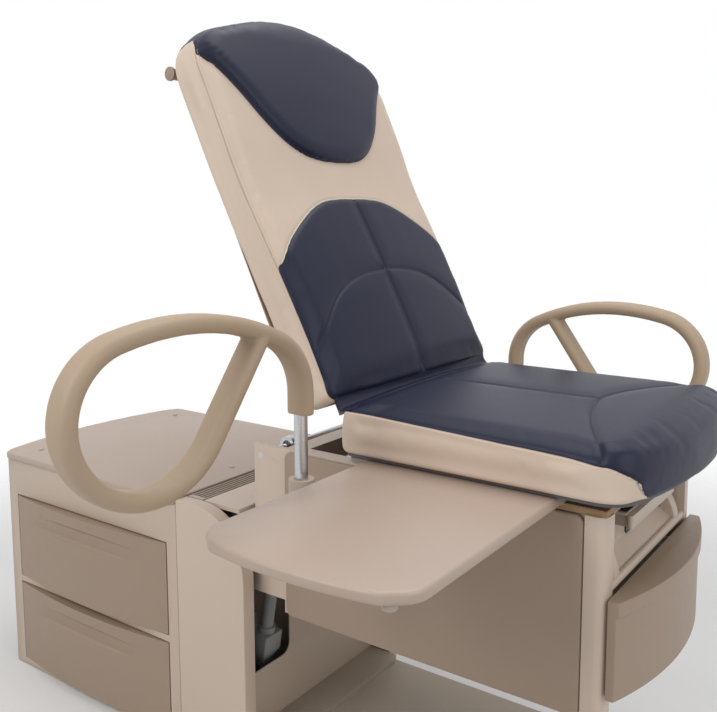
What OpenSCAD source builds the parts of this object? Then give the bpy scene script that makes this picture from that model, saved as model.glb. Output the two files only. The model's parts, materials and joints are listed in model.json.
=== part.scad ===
// Powered high-low examination table.
// +X points to the foot end, +Y to the far side, +Z up. The origin is on the
// floor, under the front face of the lift tower, on the table's centre line.

/* [Seat and back] */
// Width of the upholstery
seat_w = 608; // [560:4:680]
// Length of the seat cushion
seat_l = 598; // [560:2:640]
// Thickness of the seat cushion over its board
seat_t = 86; // [60:1:110]
// Thickness of the seat board and of the back board
board_t = 10; // [8:1:15]
// Length of the back cushion from the hinge end to the head end
back_l = 873; // [780:1:920]
// Thickness of the back cushion
back_t = 75; // [60:1:90]
// Height of the soft crown on both cushions
crown_h = 12; // [6:1:20]
// Angle of the back above the horizontal, as drawn
back_angle = 64; // [30:1:75]

/* [Carriage] */
// Height of the carriage deck over the floor, as drawn
deck_z = 748; // [700:1:820]
// Height of the carriage from its lower rail to its deck
carriage_h = 372; // [340:1:420]
// Width of the carriage over its posts
carriage_w = 500; // [460:2:540]
// Length of the carriage over its posts
carriage_l = 704; // [680:1:740]
// Thickness of the deck board
deck_t = 12; // [9:1:18]
// Diameter of the rounded front posts
post_d = 38; // [30:1:44]
// Width of the carriage frame tubes
beam_w = 34; // [26:1:40]
// Height of the carriage frame tubes
beam_h = 46; // [36:1:54]

/* [Base, tower and cabinet] */
// Thickness of the base plate
base_h = 42; // [30:1:60]
// Width of the base plate
base_w = 470; // [420:2:520]
// Length of the base plate in front of the tower
base_l = 760; // [680:5:800]
// Height of the tower
tower_h = 586; // [570:1:600]
// Depth of the tower, cabinet side to front face
tower_d = 163; // [150:1:180]
// Width of the cabinet and of the tower
cabinet_w = 592; // [580:2:620]
// Length of the cabinet
cabinet_l = 653; // [600:1:700]
// Height of the cabinet under its worktop
cabinet_h = 574; // [560:1:600]
// Thickness of the worktop
worktop_t = 16; // [12:1:22]
// How far the worktop's head-end edge bows out
worktop_bow = 44; // [20:1:60]
// Thickness of the cabinet walls
wall = 16; // [12:1:20]

/* [Drawers] */
// Height of the upper side drawer front
upper_front_h = 219; // [180:1:225]
// Height of the lower side drawer front
lower_front_h = 213; // [180:1:220]
// How far the side drawer fronts bow out
side_bow = 22; // [10:1:30]
// Height of the front drawer's front
foot_front_h = 175; // [140:1:185]
// How far the front drawer's front bows out
foot_bow = 46; // [20:1:60]
// Thickness of a drawer front at its edge
front_t = 20; // [16:1:24]
// Wall thickness of a drawer box
box_wall = 10; // [6:1:14]

/* [Side shelf] */
// Width of the side shelf
shelf_w = 380; // [320:2:390]
// Length of the side shelf
shelf_l = 556; // [480:2:560]
// Thickness of the side shelf
shelf_t = 19; // [14:1:22]
// How far the shelf is pulled out past the carriage, as drawn
shelf_out = 502; // [300:1:510]

/* [Arms] */
// Length of an arm loop along its centre line
arm_l = 482; // [430:1:520]
// Height of an arm loop along its centre line
arm_h = 197; // [160:1:220]
// Thickness of the arm tube in the plane of the loop
arm_t = 30; // [24:1:36]
// Width of the arm tube across the loop
arm_w = 53; // [40:1:60]
// Distance of the arm posts from the centre line
arm_y = 430; // [400:1:460]
// Diameter of an arm post
arm_post_d = 24; // [18:1:30]
// How far the near arm is raised, as drawn
near_arm_lift = 102; // [0:1:110]
// How far the near arm is swung out, as drawn
near_arm_swing = 82; // [0:1:100]

/* [Hidden] */

// Shared small values
over = 2;
fine = 96;
mid = 48;
near = -1;
far = 1;
screw_d = 8;
slide_gap = 0.5;
reveal = 3;

// Derived places of the carriage
frame_top = deck_z - deck_t;
frame_bottom = deck_z - carriage_h;
rear_x = 112;
front_x = rear_x + carriage_l;
half_c = carriage_w / 2;
panel_t = 10;
beam_y = half_c - panel_t;
post_r = post_d / 2;
front_post_x = front_x - post_r;
shelf_lift = 2;
shelf_top = deck_z + shelf_lift + shelf_t;
seat_clear = 8;
board_z = shelf_top + seat_clear;
seat_z = board_z + board_t;
seat_top = seat_z + seat_t;
seat_half = seat_w / 2;

// Back hinge, between the ends of the two cushions
hinge_x = 300;
hinge_drop = 13;
hinge_z = seat_top - hinge_drop;
cushion_gap = 12;
hinge_pin_d = 10;
face_up = 12;
seat_x0 = hinge_x + cushion_gap;
seat_x1 = seat_x0 + seat_l;
back_u0 = cushion_gap;
back_u1 = back_u0 + back_l;

// Places of the cabinet and tower
cab_x1 = -tower_d;
cab_x0 = cab_x1 - cabinet_l;
cab_half = cabinet_w / 2;
cover_w = 34;
tower_half = cab_half - cover_w;

// Outline helpers: exact round corners, no hull
module round_rect(x0, x1, y0, y1, r) {
    translate([x0 + r, y0]) square([x1 - x0 - 2 * r, y1 - y0]);
    translate([x0, y0 + r]) square([x1 - x0, y1 - y0 - 2 * r]);
    for (x = [x0 + r, x1 - r], y = [y0 + r, y1 - r])
        translate([x, y]) circle(r = r, $fn = mid);
}

module block(x0, x1, y0, y1, z0, z1)
    translate([x0, y0, z0]) cube([x1 - x0, y1 - y0, z1 - z0]);

module round_block(x0, x1, y0, y1, z0, z1, r)
    translate([0, 0, z0]) linear_extrude(z1 - z0) round_rect(x0, x1, y0, y1, r);

// An outline in the XZ plane, pushed along Y from y0 to y1
module along_y(y0, y1)
    translate([0, y1, 0]) rotate([90, 0, 0]) linear_extrude(y1 - y0) children();

// A rod along Y
module rod_y(x, z, y0, y1, d)
    translate([x, y1, z]) rotate([90, 0, 0]) cylinder(d = d, h = y1 - y0, $fn = fine);

// A piece drawn on the far side, mirrored to the near side with side = near
module on_side(side) mirror([0, side == near ? 1 : 0, 0]) children();

// A slab with a bowed front, drawn over its chord: chord along X, bow towards -Y
module bowed_slab(x0, x1, y_back, y_edge, bow) {
    chord = x1 - x0;
    r = (chord * chord / 4 + bow * bow) / (2 * bow);
    square_h = y_back - y_edge;
    translate([x0, y_edge]) square([chord, square_h]);
    intersection() {
        translate([(x0 + x1) / 2, y_edge - bow + r]) circle(r = r, $fn = 2 * fine);
        translate([x0, y_edge - bow]) square([chord, bow]);
    }
}

// BASE AND TOWER
foot_d = 44;
foot_h = 12;
foot_stem_d = 12;
foot_inset = 45;
ledge_l = 88;
ledge_h = 14;
base_back = 140;
base_corner = 40;
foot_gap = 2;
stem_fit = 0.2;
base_top = base_h + ledge_h;
feet_x = [foot_inset - base_back, base_l - foot_inset];
feet_y = base_w / 2 - foot_inset;

module base_plate() color("#8f887a") difference() {
    union() {
        round_block(-base_back, base_l, -base_w / 2, base_w / 2, 0, base_h, base_corner);
        round_block(-base_back, ledge_l, -base_w / 2, base_w / 2, 0, base_top, base_corner / 2);
    }
    for (x = feet_x, y = [-feet_y, feet_y]) translate([x, y, 0]) {
        translate([0, 0, -over]) cylinder(d = foot_d + 2 * foot_gap, h = foot_h + over, $fn = fine);
        translate([0, 0, -over]) cylinder(d = foot_stem_d + 2 * stem_fit, h = base_h - foot_h + over, $fn = fine);
    }
}

module leveling_feet() color("#2b2b2b")
    for (x = feet_x, y = [-feet_y, feet_y]) translate([x, y, 0]) {
        cylinder(d = foot_d, h = foot_h - foot_gap, $fn = fine);
        cylinder(d = foot_stem_d, h = base_h - foot_h - over, $fn = fine);
    }

column_y0 = 180;
column_y1 = 220;
column_x0 = -140;
rail_w = 20;
rail_x1 = -40;
rail_x0 = rail_x1 - rail_w;
rail_y = (column_y0 + column_y1) / 2;
cross_h = 30;
cross_t = 20;
column_wall = 6;
column_foot = 12;
slat_h = 10;
front_cover_t = 4;
grille_z = tower_h - slat_h;
column_top = grille_z;
rail_top = column_top - column_wall;

module tower_frame() color("#6d6f70") {
    for (side = [near, far]) on_side(side) {
        difference() {
            block(column_x0, rail_x0, column_y0, column_y1, base_top, column_top);
            block(column_x0 - over, rail_x0 - column_wall, column_y0 + column_wall,
                column_y1 - column_wall, base_top - over, column_top + over);
        }
        block(column_x0, rail_x1, column_y0 - column_foot, column_y0, base_top, base_top + column_wall);
    }
    for (z = [base_top + cross_h, column_top - cross_h]) {
        block(column_x0, column_x0 + cross_t, -column_y0, column_y0, z - cross_h / 2, z + cross_h / 2);
        // Standoffs that the cabinet and the column covers are bolted to
        for (side = [near, far]) on_side(side)
            block(cab_x1, column_x0, column_y0, tower_half, z - cross_h / 2, z + cross_h / 2);
    }
}

module guide_rails() color("#c9ccce")
    for (side = [near, far]) on_side(side) difference() {
        block(rail_x0, rail_x1, rail_y - rail_w / 2, rail_y + rail_w / 2, base_top, rail_top);
        for (k = [1:6]) translate([rail_x1, rail_y, base_top + k * (rail_top - base_top) / 7])
            rotate([0, -90, 0]) cylinder(d = screw_d, h = rail_w / 2, center = true, $fn = mid);
    }

slot_y = 98;
slot_z = 190;
slot_r = 26;
front_half = 244;
front_cover_top = grille_z - front_cover_t;

module tower_front_cover() color("#b9ad9a") difference() {
    block(-front_cover_t, 0, -front_half, front_half, base_top, front_cover_top);
    for (side = [near, far]) on_side(side) translate([over, 0, 0]) rotate([0, -90, 0])
        linear_extrude(front_cover_t + 2 * over)
            round_rect(slot_z, tower_h + slot_r, slot_y, front_half + slot_r, slot_r);
}

cover_front_x = 43;
shoulder_r = 146;
cover_back_gap = 0.5;

module column_outline() {
    sx = cover_front_x - shoulder_r;
    sz = tower_h - shoulder_r;
    translate([-tower_d + cover_back_gap, 0]) square([cover_front_x + tower_d - cover_back_gap, sz]);
    translate([-tower_d + cover_back_gap, 0]) square([sx + tower_d - cover_back_gap, tower_h]);
    translate([sx, sz]) quarter(shoulder_r);
}

module column_cover(side) color("#bfb3a1") on_side(side) difference() {
    along_y(tower_half, cab_half) column_outline();
    // Hollow behind the skin, open towards the tower
    along_y(tower_half - over, cab_half - front_cover_t) column_outline_inner();
}

module column_outline_inner() {
    inner_r = shoulder_r - front_cover_t;
    sx = cover_front_x - shoulder_r;
    sz = tower_h - shoulder_r;
    x0 = -tower_d + 2 * front_cover_t;
    translate([x0, front_cover_t]) square([sx + shoulder_r - front_cover_t - x0, sz - front_cover_t]);
    translate([x0, front_cover_t]) square([sx - x0, tower_h - 2 * front_cover_t]);
    translate([sx - over, sz - over]) quarter(inner_r + over);
}

grille_l = 50;
slat_count = 5;
slat_t = 4;
grille_rim = 12;

module tower_top_cover() color("#bdb19e") {
    x0 = -tower_d + grille_l + reveal;
    along_y(-tower_half + reveal, tower_half - reveal) difference() {
        round_rect(x0, 0, front_cover_top, tower_h, front_cover_t);
        // All but the front lip stops at the top of the columns
        translate([x0 - over, front_cover_top - over]) square([-x0 - front_cover_t + over, front_cover_t + over]);
    }
}

module vent_grille() color("#a59a88") {
    x0 = -tower_d + reveal;
    x1 = x0 + grille_l - reveal;
    y1 = tower_half - reveal;
    for (side = [near, far]) on_side(side) block(x0, x1, y1 - grille_rim, y1, grille_z, tower_h);
    pitch = (x1 - x0 - slat_t) / (slat_count - 1);
    for (k = [0:slat_count - 1])
        block(x0 + k * pitch, x0 + k * pitch + slat_t, -y1, y1, grille_z, tower_h);
}

// CABINET
stile_l = 39;
stile_r = 36;
bottom_rail = 22;
mid_rail = 22;
open_x0 = cab_x0 + stile_l - reveal;
open_x1 = cab_x1 - stile_r + reveal;
lower_z0 = bottom_rail;
lower_z1 = lower_z0 + lower_front_h;
upper_z0 = lower_z1 + mid_rail;
upper_z1 = upper_z0 + upper_front_h;
front_depth = front_t;

module cabinet_shell() color("#c2b8a6") difference() {
    block(cab_x0, cab_x1, -cab_half, cab_half, 0, cabinet_h);
    block(cab_x0 + wall, cab_x1 - wall, -cab_half + wall, cab_half - wall, wall, cabinet_h - wall);
    for (z = [[lower_z0, lower_z1], [upper_z0, upper_z1]])
        block(open_x0, open_x1, -cab_half - over, -cab_half + wall + over, z[0] - reveal, z[1] + reveal);
}

worktop_side = 8;
worktop_corner = 22;
worktop_foot = 1;

module worktop_outline() {
    x0 = cab_x0 - worktop_side;
    x1 = cab_x1 - worktop_foot;
    half = cab_half + worktop_side;
    r = (half * half + worktop_bow * worktop_bow) / (2 * worktop_bow);
    round_rect(x0, x1, -half, half, worktop_corner);
    intersection() {
        translate([x0 - worktop_bow + r, 0]) circle(r = r, $fn = 2 * fine);
        translate([x0 - worktop_bow, -half + worktop_corner])
            square([worktop_bow + worktop_corner, 2 * half - 2 * worktop_corner]);
    }
}

plug_d = 14;
plug_h = 2;
plug_inset_x = 60;
plug_inset_y = 60;
plug_places = [[cab_x1 - plug_inset_x, -cab_half + plug_inset_y * 4], [cab_x1 - plug_inset_x, cab_half - plug_inset_y],
    [cab_x0 + plug_inset_x, -cab_half + plug_inset_y], [cab_x0 + plug_inset_x, cab_half - plug_inset_y]];

module cabinet_worktop() color("#a4978b")
    translate([0, 0, cabinet_h]) linear_extrude(worktop_t) worktop_outline();

module worktop_plugs() color("#8e8175")
    for (p = plug_places) translate([p[0], p[1], cabinet_h + worktop_t]) cylinder(d = plug_d, h = plug_h, $fn = mid);

// SIDE DRAWERS
runner_w = 11;
runner_h = 36;
side_box_x0 = open_x0 + reveal + runner_w;
side_box_x1 = open_x1 - reveal - runner_w;
side_box_y1 = 230;
side_box_drop = 50;
side_box_lift = 12;
scoop_r = 26;
scoop_drop = 48;
scoop_depth = 12;
front_edge_y = -cab_half;

module side_front(z0, z1) {
    x0 = open_x0 + reveal;
    x1 = open_x1 - reveal;
    difference() {
        translate([0, 0, z0]) linear_extrude(z1 - z0)
            bowed_slab(x0, x1, front_edge_y + front_depth, front_edge_y, side_bow);
        // Finger pull under the top lip
        intersection() {
            translate([x0 + front_t, front_edge_y - side_bow - scoop_r + scoop_depth, z1 - scoop_drop])
                rotate([0, 90, 0]) cylinder(r = scoop_r, h = x1 - x0 - 2 * front_t, $fn = fine);
            block(x0, x1, front_edge_y - 2 * side_bow, front_edge_y + front_depth, z0, z1);
        }
    }
}

module side_box(z0, z1) {
    y0 = front_edge_y + front_depth;
    difference() {
        block(side_box_x0, side_box_x1, y0, side_box_y1, z0, z1);
        block(side_box_x0 + box_wall, side_box_x1 - box_wall, y0 + box_wall,
            side_box_y1 - box_wall, z0 + box_wall, z1 + over);
    }
    for (x = [side_box_x0 - runner_w, side_box_x1])
        block(x, x + runner_w, y0 + wall, side_box_y1, z0 + runner_h, z0 + 2 * runner_h);
}

module upper_drawer_front() color("#8f8273") side_front(upper_z0, upper_z1);
module lower_drawer_front() color("#8f8273") side_front(lower_z0, lower_z1);
module upper_drawer_box() color("#d8d4cc") side_box(upper_z0 + side_box_lift, upper_z1 - side_box_drop);
module lower_drawer_box() color("#d8d4cc") side_box(lower_z0 + side_box_lift, lower_z1 - side_box_drop);

rail_lip = 6;

module cabinet_drawer_rails() color("#b8bbbd")
    for (z0 = [lower_z0 + side_box_lift + runner_h, upper_z0 + side_box_lift + runner_h]) {
        y0 = front_edge_y + front_depth + slide_gap;
        for (s = [0, 1]) {
            xa = s == 0 ? cab_x0 + wall : side_box_x1 + runner_w + slide_gap;
            xb = s == 0 ? side_box_x0 - runner_w - slide_gap : cab_x1 - wall;
            block(xa, xb, y0, side_box_y1, z0 - rail_lip, z0 + runner_h + rail_lip);
            // The lips that the runner rides between
            xc = s == 0 ? xa : xa - rail_lip;
            xd = s == 0 ? xb + rail_lip : xb;
            for (zl = [z0 - rail_lip, z0 + runner_h + slide_gap])
                block(xc, xd, y0, side_box_y1, zl, zl + rail_lip - slide_gap);
        }
    }

// LIFT ACTUATOR, leaning towards the foot end
act_y = -145;
act_x = -47;
act_z = 165;
act_top_x = 48;
act_top_z = 712;
act_lean = atan2(act_top_x - act_x, act_top_z - act_z);
act_len = norm([act_top_x - act_x, act_top_z - act_z]);
act_tube_d = 30;
act_tube_l = 285;
act_block_x = 50;
act_block_y = 56;
act_block_h = 46;
act_tip_h = 44;
act_neck_h = 18;
act_tip_w = 26;
act_collar_d = 40;
act_collar_h = 14;
act_pin_d = 12;
rod_d = 18;
rod_fit = 0.4;
rod_in = 133;
eye_d = 42;
eye_t = 18;
eye_play = 6;
shaft_d = 14;
bracket_t = 6;
bracket_gap = 1;
bracket_half_l = 26;
pin_fit = 0.05;

module in_actuator() translate([act_x, act_y, act_z]) rotate([0, act_lean, 0]) children();

// A clevis on a pedestal: foot plate, two cheeks and the pin between them
module lift_pivot_block() color("#5c5e60") {
    half = act_tip_w / 2 + bracket_gap;
    outer = half + bracket_t;
    block(act_x - bracket_half_l, act_x + bracket_half_l, act_y - outer, act_y + outer, base_top, base_top + bracket_t);
    for (y = [act_y - outer, act_y + half]) {
        along_y(y, y + bracket_t) {
            translate([act_x, act_z]) circle(d = act_tip_w, $fn = fine);
            polygon([[act_x - bracket_half_l, base_top], [act_x + bracket_half_l, base_top],
                [act_x + act_tip_w / 2, act_z], [act_x - act_tip_w / 2, act_z]]);
        }
    }
    rod_y(act_x, act_z, act_y - half, act_y + half, act_pin_d);
}

module lift_actuator() color("#8d8c8a") in_actuator() difference() {
    union() {
        // Neck, pyramid, gear block, collar and outer tube
        translate([-act_tip_w / 2, -act_tip_w / 2, -act_pin_d])
            cube([act_tip_w, act_tip_w, act_pin_d + act_neck_h]);
        hull() {
            translate([-act_tip_w / 2, -act_tip_w / 2, act_neck_h - over]) cube([act_tip_w, act_tip_w, over]);
            translate([-act_block_x / 2, -act_block_y / 2, act_tip_h]) cube([act_block_x, act_block_y, over]);
        }
        translate([-act_block_x / 2, -act_block_y / 2, act_tip_h])
            cube([act_block_x, act_block_y, act_block_h]);
        translate([0, 0, act_tip_h + act_block_h]) cylinder(d = act_collar_d, h = act_collar_h, $fn = fine);
        translate([0, 0, act_tip_h + act_block_h]) cylinder(d = act_tube_d, h = act_tube_l, $fn = fine);
    }
    translate([0, act_block_y / 2 + over, 0]) rotate([90, 0, 0])
        cylinder(d = act_pin_d + 2 * pin_fit, h = act_block_y + 2 * over, $fn = fine);
    translate([0, 0, act_tip_h + act_block_h])
        cylinder(d = rod_d + 2 * rod_fit, h = act_tube_l + over, $fn = fine);
}

module lift_rod() color("#c4c7c9") in_actuator() difference() {
    union() {
        tube_end = act_tip_h + act_block_h + act_tube_l;
        translate([0, 0, tube_end - rod_in]) cylinder(d = rod_d, h = act_len - tube_end + rod_in - eye_d / 3, $fn = fine);
        translate([0, eye_t / 2, act_len]) rotate([90, 0, 0]) cylinder(d = eye_d, h = eye_t, $fn = fine);
    }
    translate([0, eye_t, act_len]) rotate([90, 0, 0])
        cylinder(d = shaft_d + 2 * eye_play, h = 2 * eye_t, $fn = fine);
}

arm_plate_t = 14;

module lift_cross_shaft() color("#7b7d7f")
    rod_y(act_top_x, act_top_z, -beam_y, beam_y, shaft_d);

// CARRIAGE
arm_z0 = 404;
arm_z1 = 480;
block_l = 60;
lower_block_z = 256;
block_wall = 12;
block_outer_x = rail_x1 + block_wall;
mast_x = 30;

module arm_plate_outline()
    polygon([[rail_x0 + over, lower_block_z], [block_outer_x, lower_block_z], [block_outer_x, arm_z0],
        [rear_x, arm_z0], [rear_x, frame_top], [mast_x, frame_top], [mast_x, arm_z1],
        [rail_x0 + over, arm_z1]]);

module carriage_frame() color("#bcb2a0") {
    inner = beam_y - beam_w;
    for (side = [near, far]) on_side(side) {
        difference() {
            // The lift arm, a plate that reaches through the tower's side slot
            along_y(beam_y - arm_plate_t, beam_y) arm_plate_outline();
            rod_y(act_top_x, act_top_z, beam_y - arm_plate_t - over, beam_y + over, shaft_d + 2 * pin_fit);
        }
        for (z = [frame_bottom, frame_top - beam_h])
            block(rear_x, front_post_x, inner, beam_y, z, z + beam_h);
        block(rear_x, rear_x + beam_h, inner, beam_y, frame_bottom + beam_h, frame_top - beam_h);
        // Rounded front post
        translate([front_post_x, half_c - post_r, frame_bottom])
            cylinder(d = post_d, h = frame_top - frame_bottom, $fn = fine);
        block(front_post_x - post_r, front_post_x, half_c - post_d, half_c, frame_bottom, frame_top);
        block(front_post_x, front_x, half_c - post_d, half_c - post_r, frame_bottom, frame_top);
    }
    for (z = [frame_bottom, frame_top - beam_h])
        block(rear_x, rear_x + beam_h, -inner, inner, z, z + beam_h);
    block(front_post_x - post_r, front_post_x, -half_c + post_d, half_c - post_d, frame_bottom, frame_bottom + beam_h);
    block(front_post_x - post_r, front_post_x, -half_c + post_d, half_c - post_d, frame_top - cross_t, frame_top);
}

module guide_blocks() color("#37393b")
    for (side = [near, far]) on_side(side)
        for (z = [lower_block_z, arm_z0]) difference() {
            block(rail_x0 + over, block_outer_x, column_y0, beam_y - arm_plate_t, z, z + block_l);
            block(rail_x0, rail_x1 + slide_gap, rail_y - rail_w / 2 - slide_gap,
                rail_y + rail_w / 2 + slide_gap, z - over, z + block_l + over);
        }

panel_gap = 2;
panel_r = 16;
panel_x1 = front_post_x - post_r - panel_gap;
panel_x0 = rear_x + panel_t;
panel_z1 = frame_top - panel_gap;

module side_panel(side) color("#8d8172") on_side(side)
    along_y(beam_y, half_c) round_rect(panel_x0, panel_x1, frame_bottom, panel_z1, panel_r);

deck_x0 = 330;
deck_x1 = front_x - over;
deck_inset = 4;

module top_deck() color("#8a6a44") difference() {
    block(deck_x0, deck_x1, -half_c + deck_inset, half_c - deck_inset, frame_top, deck_z);
    for (x = [deck_x0 + post_d, deck_x1 - post_d], side = [near, far])
        translate([x, side * (half_c - post_r), deck_z - deck_t / 3])
            cylinder(d = screw_d, h = deck_t, $fn = mid);
}

// FRONT BAY
bay_t = 4;
stirrup_w = 28;
cover_post_gap = 22;
bay_half = half_c - post_d;
cover_y = bay_half - cover_post_gap;
bay_top = 666;
bay_wall_x = 772;
bay_floor_z = 628;
lip_x = 816;
lip_z = 604;
lip_r = 9;
drawer_top_gap = 2;
foot_z1 = lip_z - lip_r + drawer_top_gap;
foot_z0 = foot_z1 - foot_front_h;

module bay_profile() {
    polygon([[bay_wall_x, bay_top], [bay_wall_x - bay_t, bay_top], [bay_wall_x - bay_t, bay_floor_z - bay_t],
        [lip_x - lip_r, lip_z - lip_r], [lip_x - lip_r, lip_z + lip_r / 2], [bay_wall_x + bay_t, bay_floor_z + bay_t],
        [bay_wall_x, bay_floor_z + 2 * bay_t]]);
    translate([lip_x - lip_r, lip_z]) circle(r = lip_r, $fn = mid);
}

switch_w = 24;
switch_h = 32;
switch_y = -17;
switch_z = 648;
switch_fit = 1;
bezel_rim = 3;
bezel_t = 2.5;
rocker_d = 14;

module front_bay() color("#b5aa98") difference() {
    along_y(-bay_half, bay_half) bay_profile();
    // The quarter covers stand in slots of the bay
    for (side = [near, far]) on_side(side) cover_body();
    block(bay_wall_x - 2 * bay_t, bay_wall_x + 2 * bay_t, switch_y - switch_w / 2, switch_y + switch_w / 2,
        switch_z - switch_h / 2, switch_z + switch_h / 2);
}

module switch_bezel() color("#40352c") difference() {
    block(bay_wall_x - bay_t - rocker_d, bay_wall_x + bezel_t, switch_y - switch_w / 2 + slide_gap,
        switch_y + switch_w / 2 - slide_gap, switch_z - switch_h / 2 + slide_gap, switch_z + switch_h / 2 - slide_gap);
    block(bay_wall_x - rocker_d, bay_wall_x + bezel_t + over, switch_y - switch_w / 2 + bezel_rim,
        switch_y + switch_w / 2 - bezel_rim, switch_z - switch_h / 2 + bezel_rim, switch_z + switch_h / 2 - bezel_rim);
    // Bore for the rocker's pin
    rod_y(rocker_x, switch_z, switch_y - rocker_w / 2 - rocker_pin_in - slide_gap,
        switch_y + rocker_w / 2 + rocker_pin_in + slide_gap, rocker_pin_d + 2 * pin_fit);
}

rocker_x = bay_wall_x - bay_t;
rocker_w = switch_w - 2 * bezel_rim - switch_fit;
rocker_h = switch_h - 2 * bezel_rim - 2 * switch_fit;
rocker_t = 8;
rocker_tilt = 6;
rocker_dish = 1.5;
rocker_pin_d = 4;
rocker_pin_in = 2;

module rocker_switch() color("#1d6f73") {
    rod_y(rocker_x, switch_z, switch_y - rocker_w / 2 - rocker_pin_in, switch_y + rocker_w / 2 + rocker_pin_in,
        rocker_pin_d);
    translate([rocker_x, switch_y - rocker_w / 2, switch_z]) rotate([0, rocker_tilt, 0])
        difference() {
            translate([-over, 0, -rocker_h / 2 + over / 2]) cube([rocker_t + over, rocker_w, rocker_h - over]);
            // Dished face
            translate([rocker_t + 2 * rocker_h, -over, 0]) rotate([-90, 0, 0])
                cylinder(r = 2 * rocker_h + rocker_dish, h = rocker_w + 2 * over, $fn = 2 * fine);
        }
}

stirrup_r = 112;
stirrup_x = lip_x - stirrup_r - bay_t;
stirrup_z = lip_z - lip_r;
sector_r = 76;
sector_t = 3;
sector_in = 6;
sector_rise = 22;
sector_gap = 1.5;

module quarter(r) intersection() {
    circle(r = r, $fn = 2 * fine);
    square([r + over, r + over]);
}

module cover_body()
    translate([stirrup_x, cover_y, stirrup_z]) rotate([90, 0, 0]) linear_extrude(stirrup_w) quarter(stirrup_r);

module stirrup_cover(side) color("#b4a898") on_side(side) difference() {
    cover_body();
    for (y = [cover_y + over, cover_y - stirrup_w + sector_in])
        translate([stirrup_x + sector_t, y, stirrup_z + sector_rise]) rotate([90, 0, 0])
            linear_extrude(sector_in + over) quarter(sector_r);
}

module sector_plate_at(y)
    translate([stirrup_x + sector_t + sector_gap, y, stirrup_z + sector_rise + sector_gap]) rotate([90, 0, 0])
        linear_extrude(sector_t) difference() {
            quarter(sector_r - 2 * sector_gap);
            translate([sector_r / 2, sector_r / 3]) circle(d = screw_d, $fn = mid);
        }

module sector_plates() color("#6e6157")
    for (side = [near, far]) on_side(side)
        for (y = [cover_y - stirrup_w + sector_in, cover_y - sector_in + sector_t])
            sector_plate_at(y);

// TREATMENT PAN, on two short rails under the deck
pan_w = 252;
pan_l = 330;
pan_h = 26;
pan_z0 = 680;
pan_wall = 3;
pan_x1 = 806;
pan_lip_t = 12;
pan_lip_h = 24;
pan_rail_h = 14;
pan_rail_w = 10;
pan_flange = 8;

module treatment_pan() color("#b9ae9d") {
    x0 = pan_x1 - pan_l;
    z1 = pan_z0 + pan_h;
    difference() {
        block(x0, pan_x1, -pan_w / 2 + pan_flange, pan_w / 2 - pan_flange, pan_z0, z1);
        block(x0 + pan_wall, pan_x1 - pan_wall, -pan_w / 2 + pan_flange + pan_wall,
            pan_w / 2 - pan_flange - pan_wall, pan_z0 + pan_wall, z1 + over);
    }
    for (side = [near, far]) on_side(side)
        block(x0, pan_x1, pan_w / 2 - pan_flange, pan_w / 2, z1 - pan_wall, z1);
    translate([0, 0, pan_z0]) linear_extrude(pan_lip_h)
        round_rect(pan_x1, pan_x1 + pan_lip_t, -pan_w / 2, pan_w / 2, pan_lip_t / 2 - slide_gap);
}

module pan_rails() color("#c5c2bb")
    for (side = [near, far]) on_side(side) {
        x0 = pan_x1 - pan_l;
        z1 = pan_z0 + pan_h;
        difference() {
            block(x0, front_post_x - post_r, pan_w / 2 - pan_flange + slide_gap, pan_w / 2 + pan_rail_w,
                z1 - pan_wall - pan_rail_h / 2, frame_top);
            block(x0 - over, pan_x1 + over, pan_w / 2 - pan_flange, pan_w / 2 + slide_gap,
                z1 - pan_wall - slide_gap, z1 + slide_gap);
        }
    }

// FRONT DRAWER
foot_gap_x = 3;
foot_runner_gap = 12;
foot_side_gap = 5;
foot_edge_x = front_x + foot_gap_x;
foot_half = half_c - foot_side_gap;
foot_box_half = beam_y - beam_w - runner_w - foot_runner_gap;
foot_box_x0 = 330;
foot_box_drop = 34;
foot_box_lift = 20;
lip_h = 26;
lip_step = 5;

module front_drawer_front() color("#8f8273") rotate([0, 0, 90]) {
    // The body is set back under a full top lip
    translate([0, 0, foot_z0]) linear_extrude(foot_z1 - foot_z0 - lip_h)
        bowed_slab(-foot_half, foot_half, -foot_edge_x, -foot_edge_x - front_t + lip_step, foot_bow);
    translate([0, 0, foot_z1 - lip_h]) linear_extrude(lip_h)
        bowed_slab(-foot_half, foot_half, -foot_edge_x, -foot_edge_x - front_t, foot_bow);
}

module front_drawer_box() color("#d8d4cc") {
    z0 = foot_z0 + foot_box_lift;
    z1 = foot_z1 - foot_box_drop;
    difference() {
        block(foot_box_x0, foot_edge_x, -foot_box_half, foot_box_half, z0, z1);
        block(foot_box_x0 + box_wall, foot_edge_x - box_wall, -foot_box_half + box_wall,
            foot_box_half - box_wall, z0 + box_wall, z1 + over);
    }
    for (side = [near, far]) on_side(side)
        block(foot_box_x0, front_post_x - post_d, foot_box_half, foot_box_half + runner_w, z0 + runner_h,
            z0 + 2 * runner_h);
}

module front_drawer_rails() color("#b8bbbd")
    for (side = [near, far]) on_side(side) {
        z0 = foot_z0 + foot_box_lift + runner_h;
        ya = foot_box_half + runner_w + slide_gap;
        yb = beam_y;
        x1 = front_post_x - post_d;
        block(foot_box_x0, x1, ya, yb, z0 - rail_lip, z0 + runner_h + rail_lip);
        for (zl = [z0 - rail_lip, z0 + runner_h + slide_gap])
            block(foot_box_x0, x1, ya - rail_lip, ya, zl, zl + rail_lip - slide_gap);
    }

// SEAT
riser_w = 26;
riser_half = beam_y - deck_inset;
shelf_x0 = 365;
shelf_x1 = shelf_x0 + shelf_w;
guide_w = 6;
board_inset = 12;

module seat_risers() color("#5a5c5e")
    for (x = [shelf_x0 - guide_w - reveal - riser_w, shelf_x1 + guide_w + reveal])
        block(x, x + riser_w, -riser_half, riser_half, deck_z, board_z);

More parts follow.
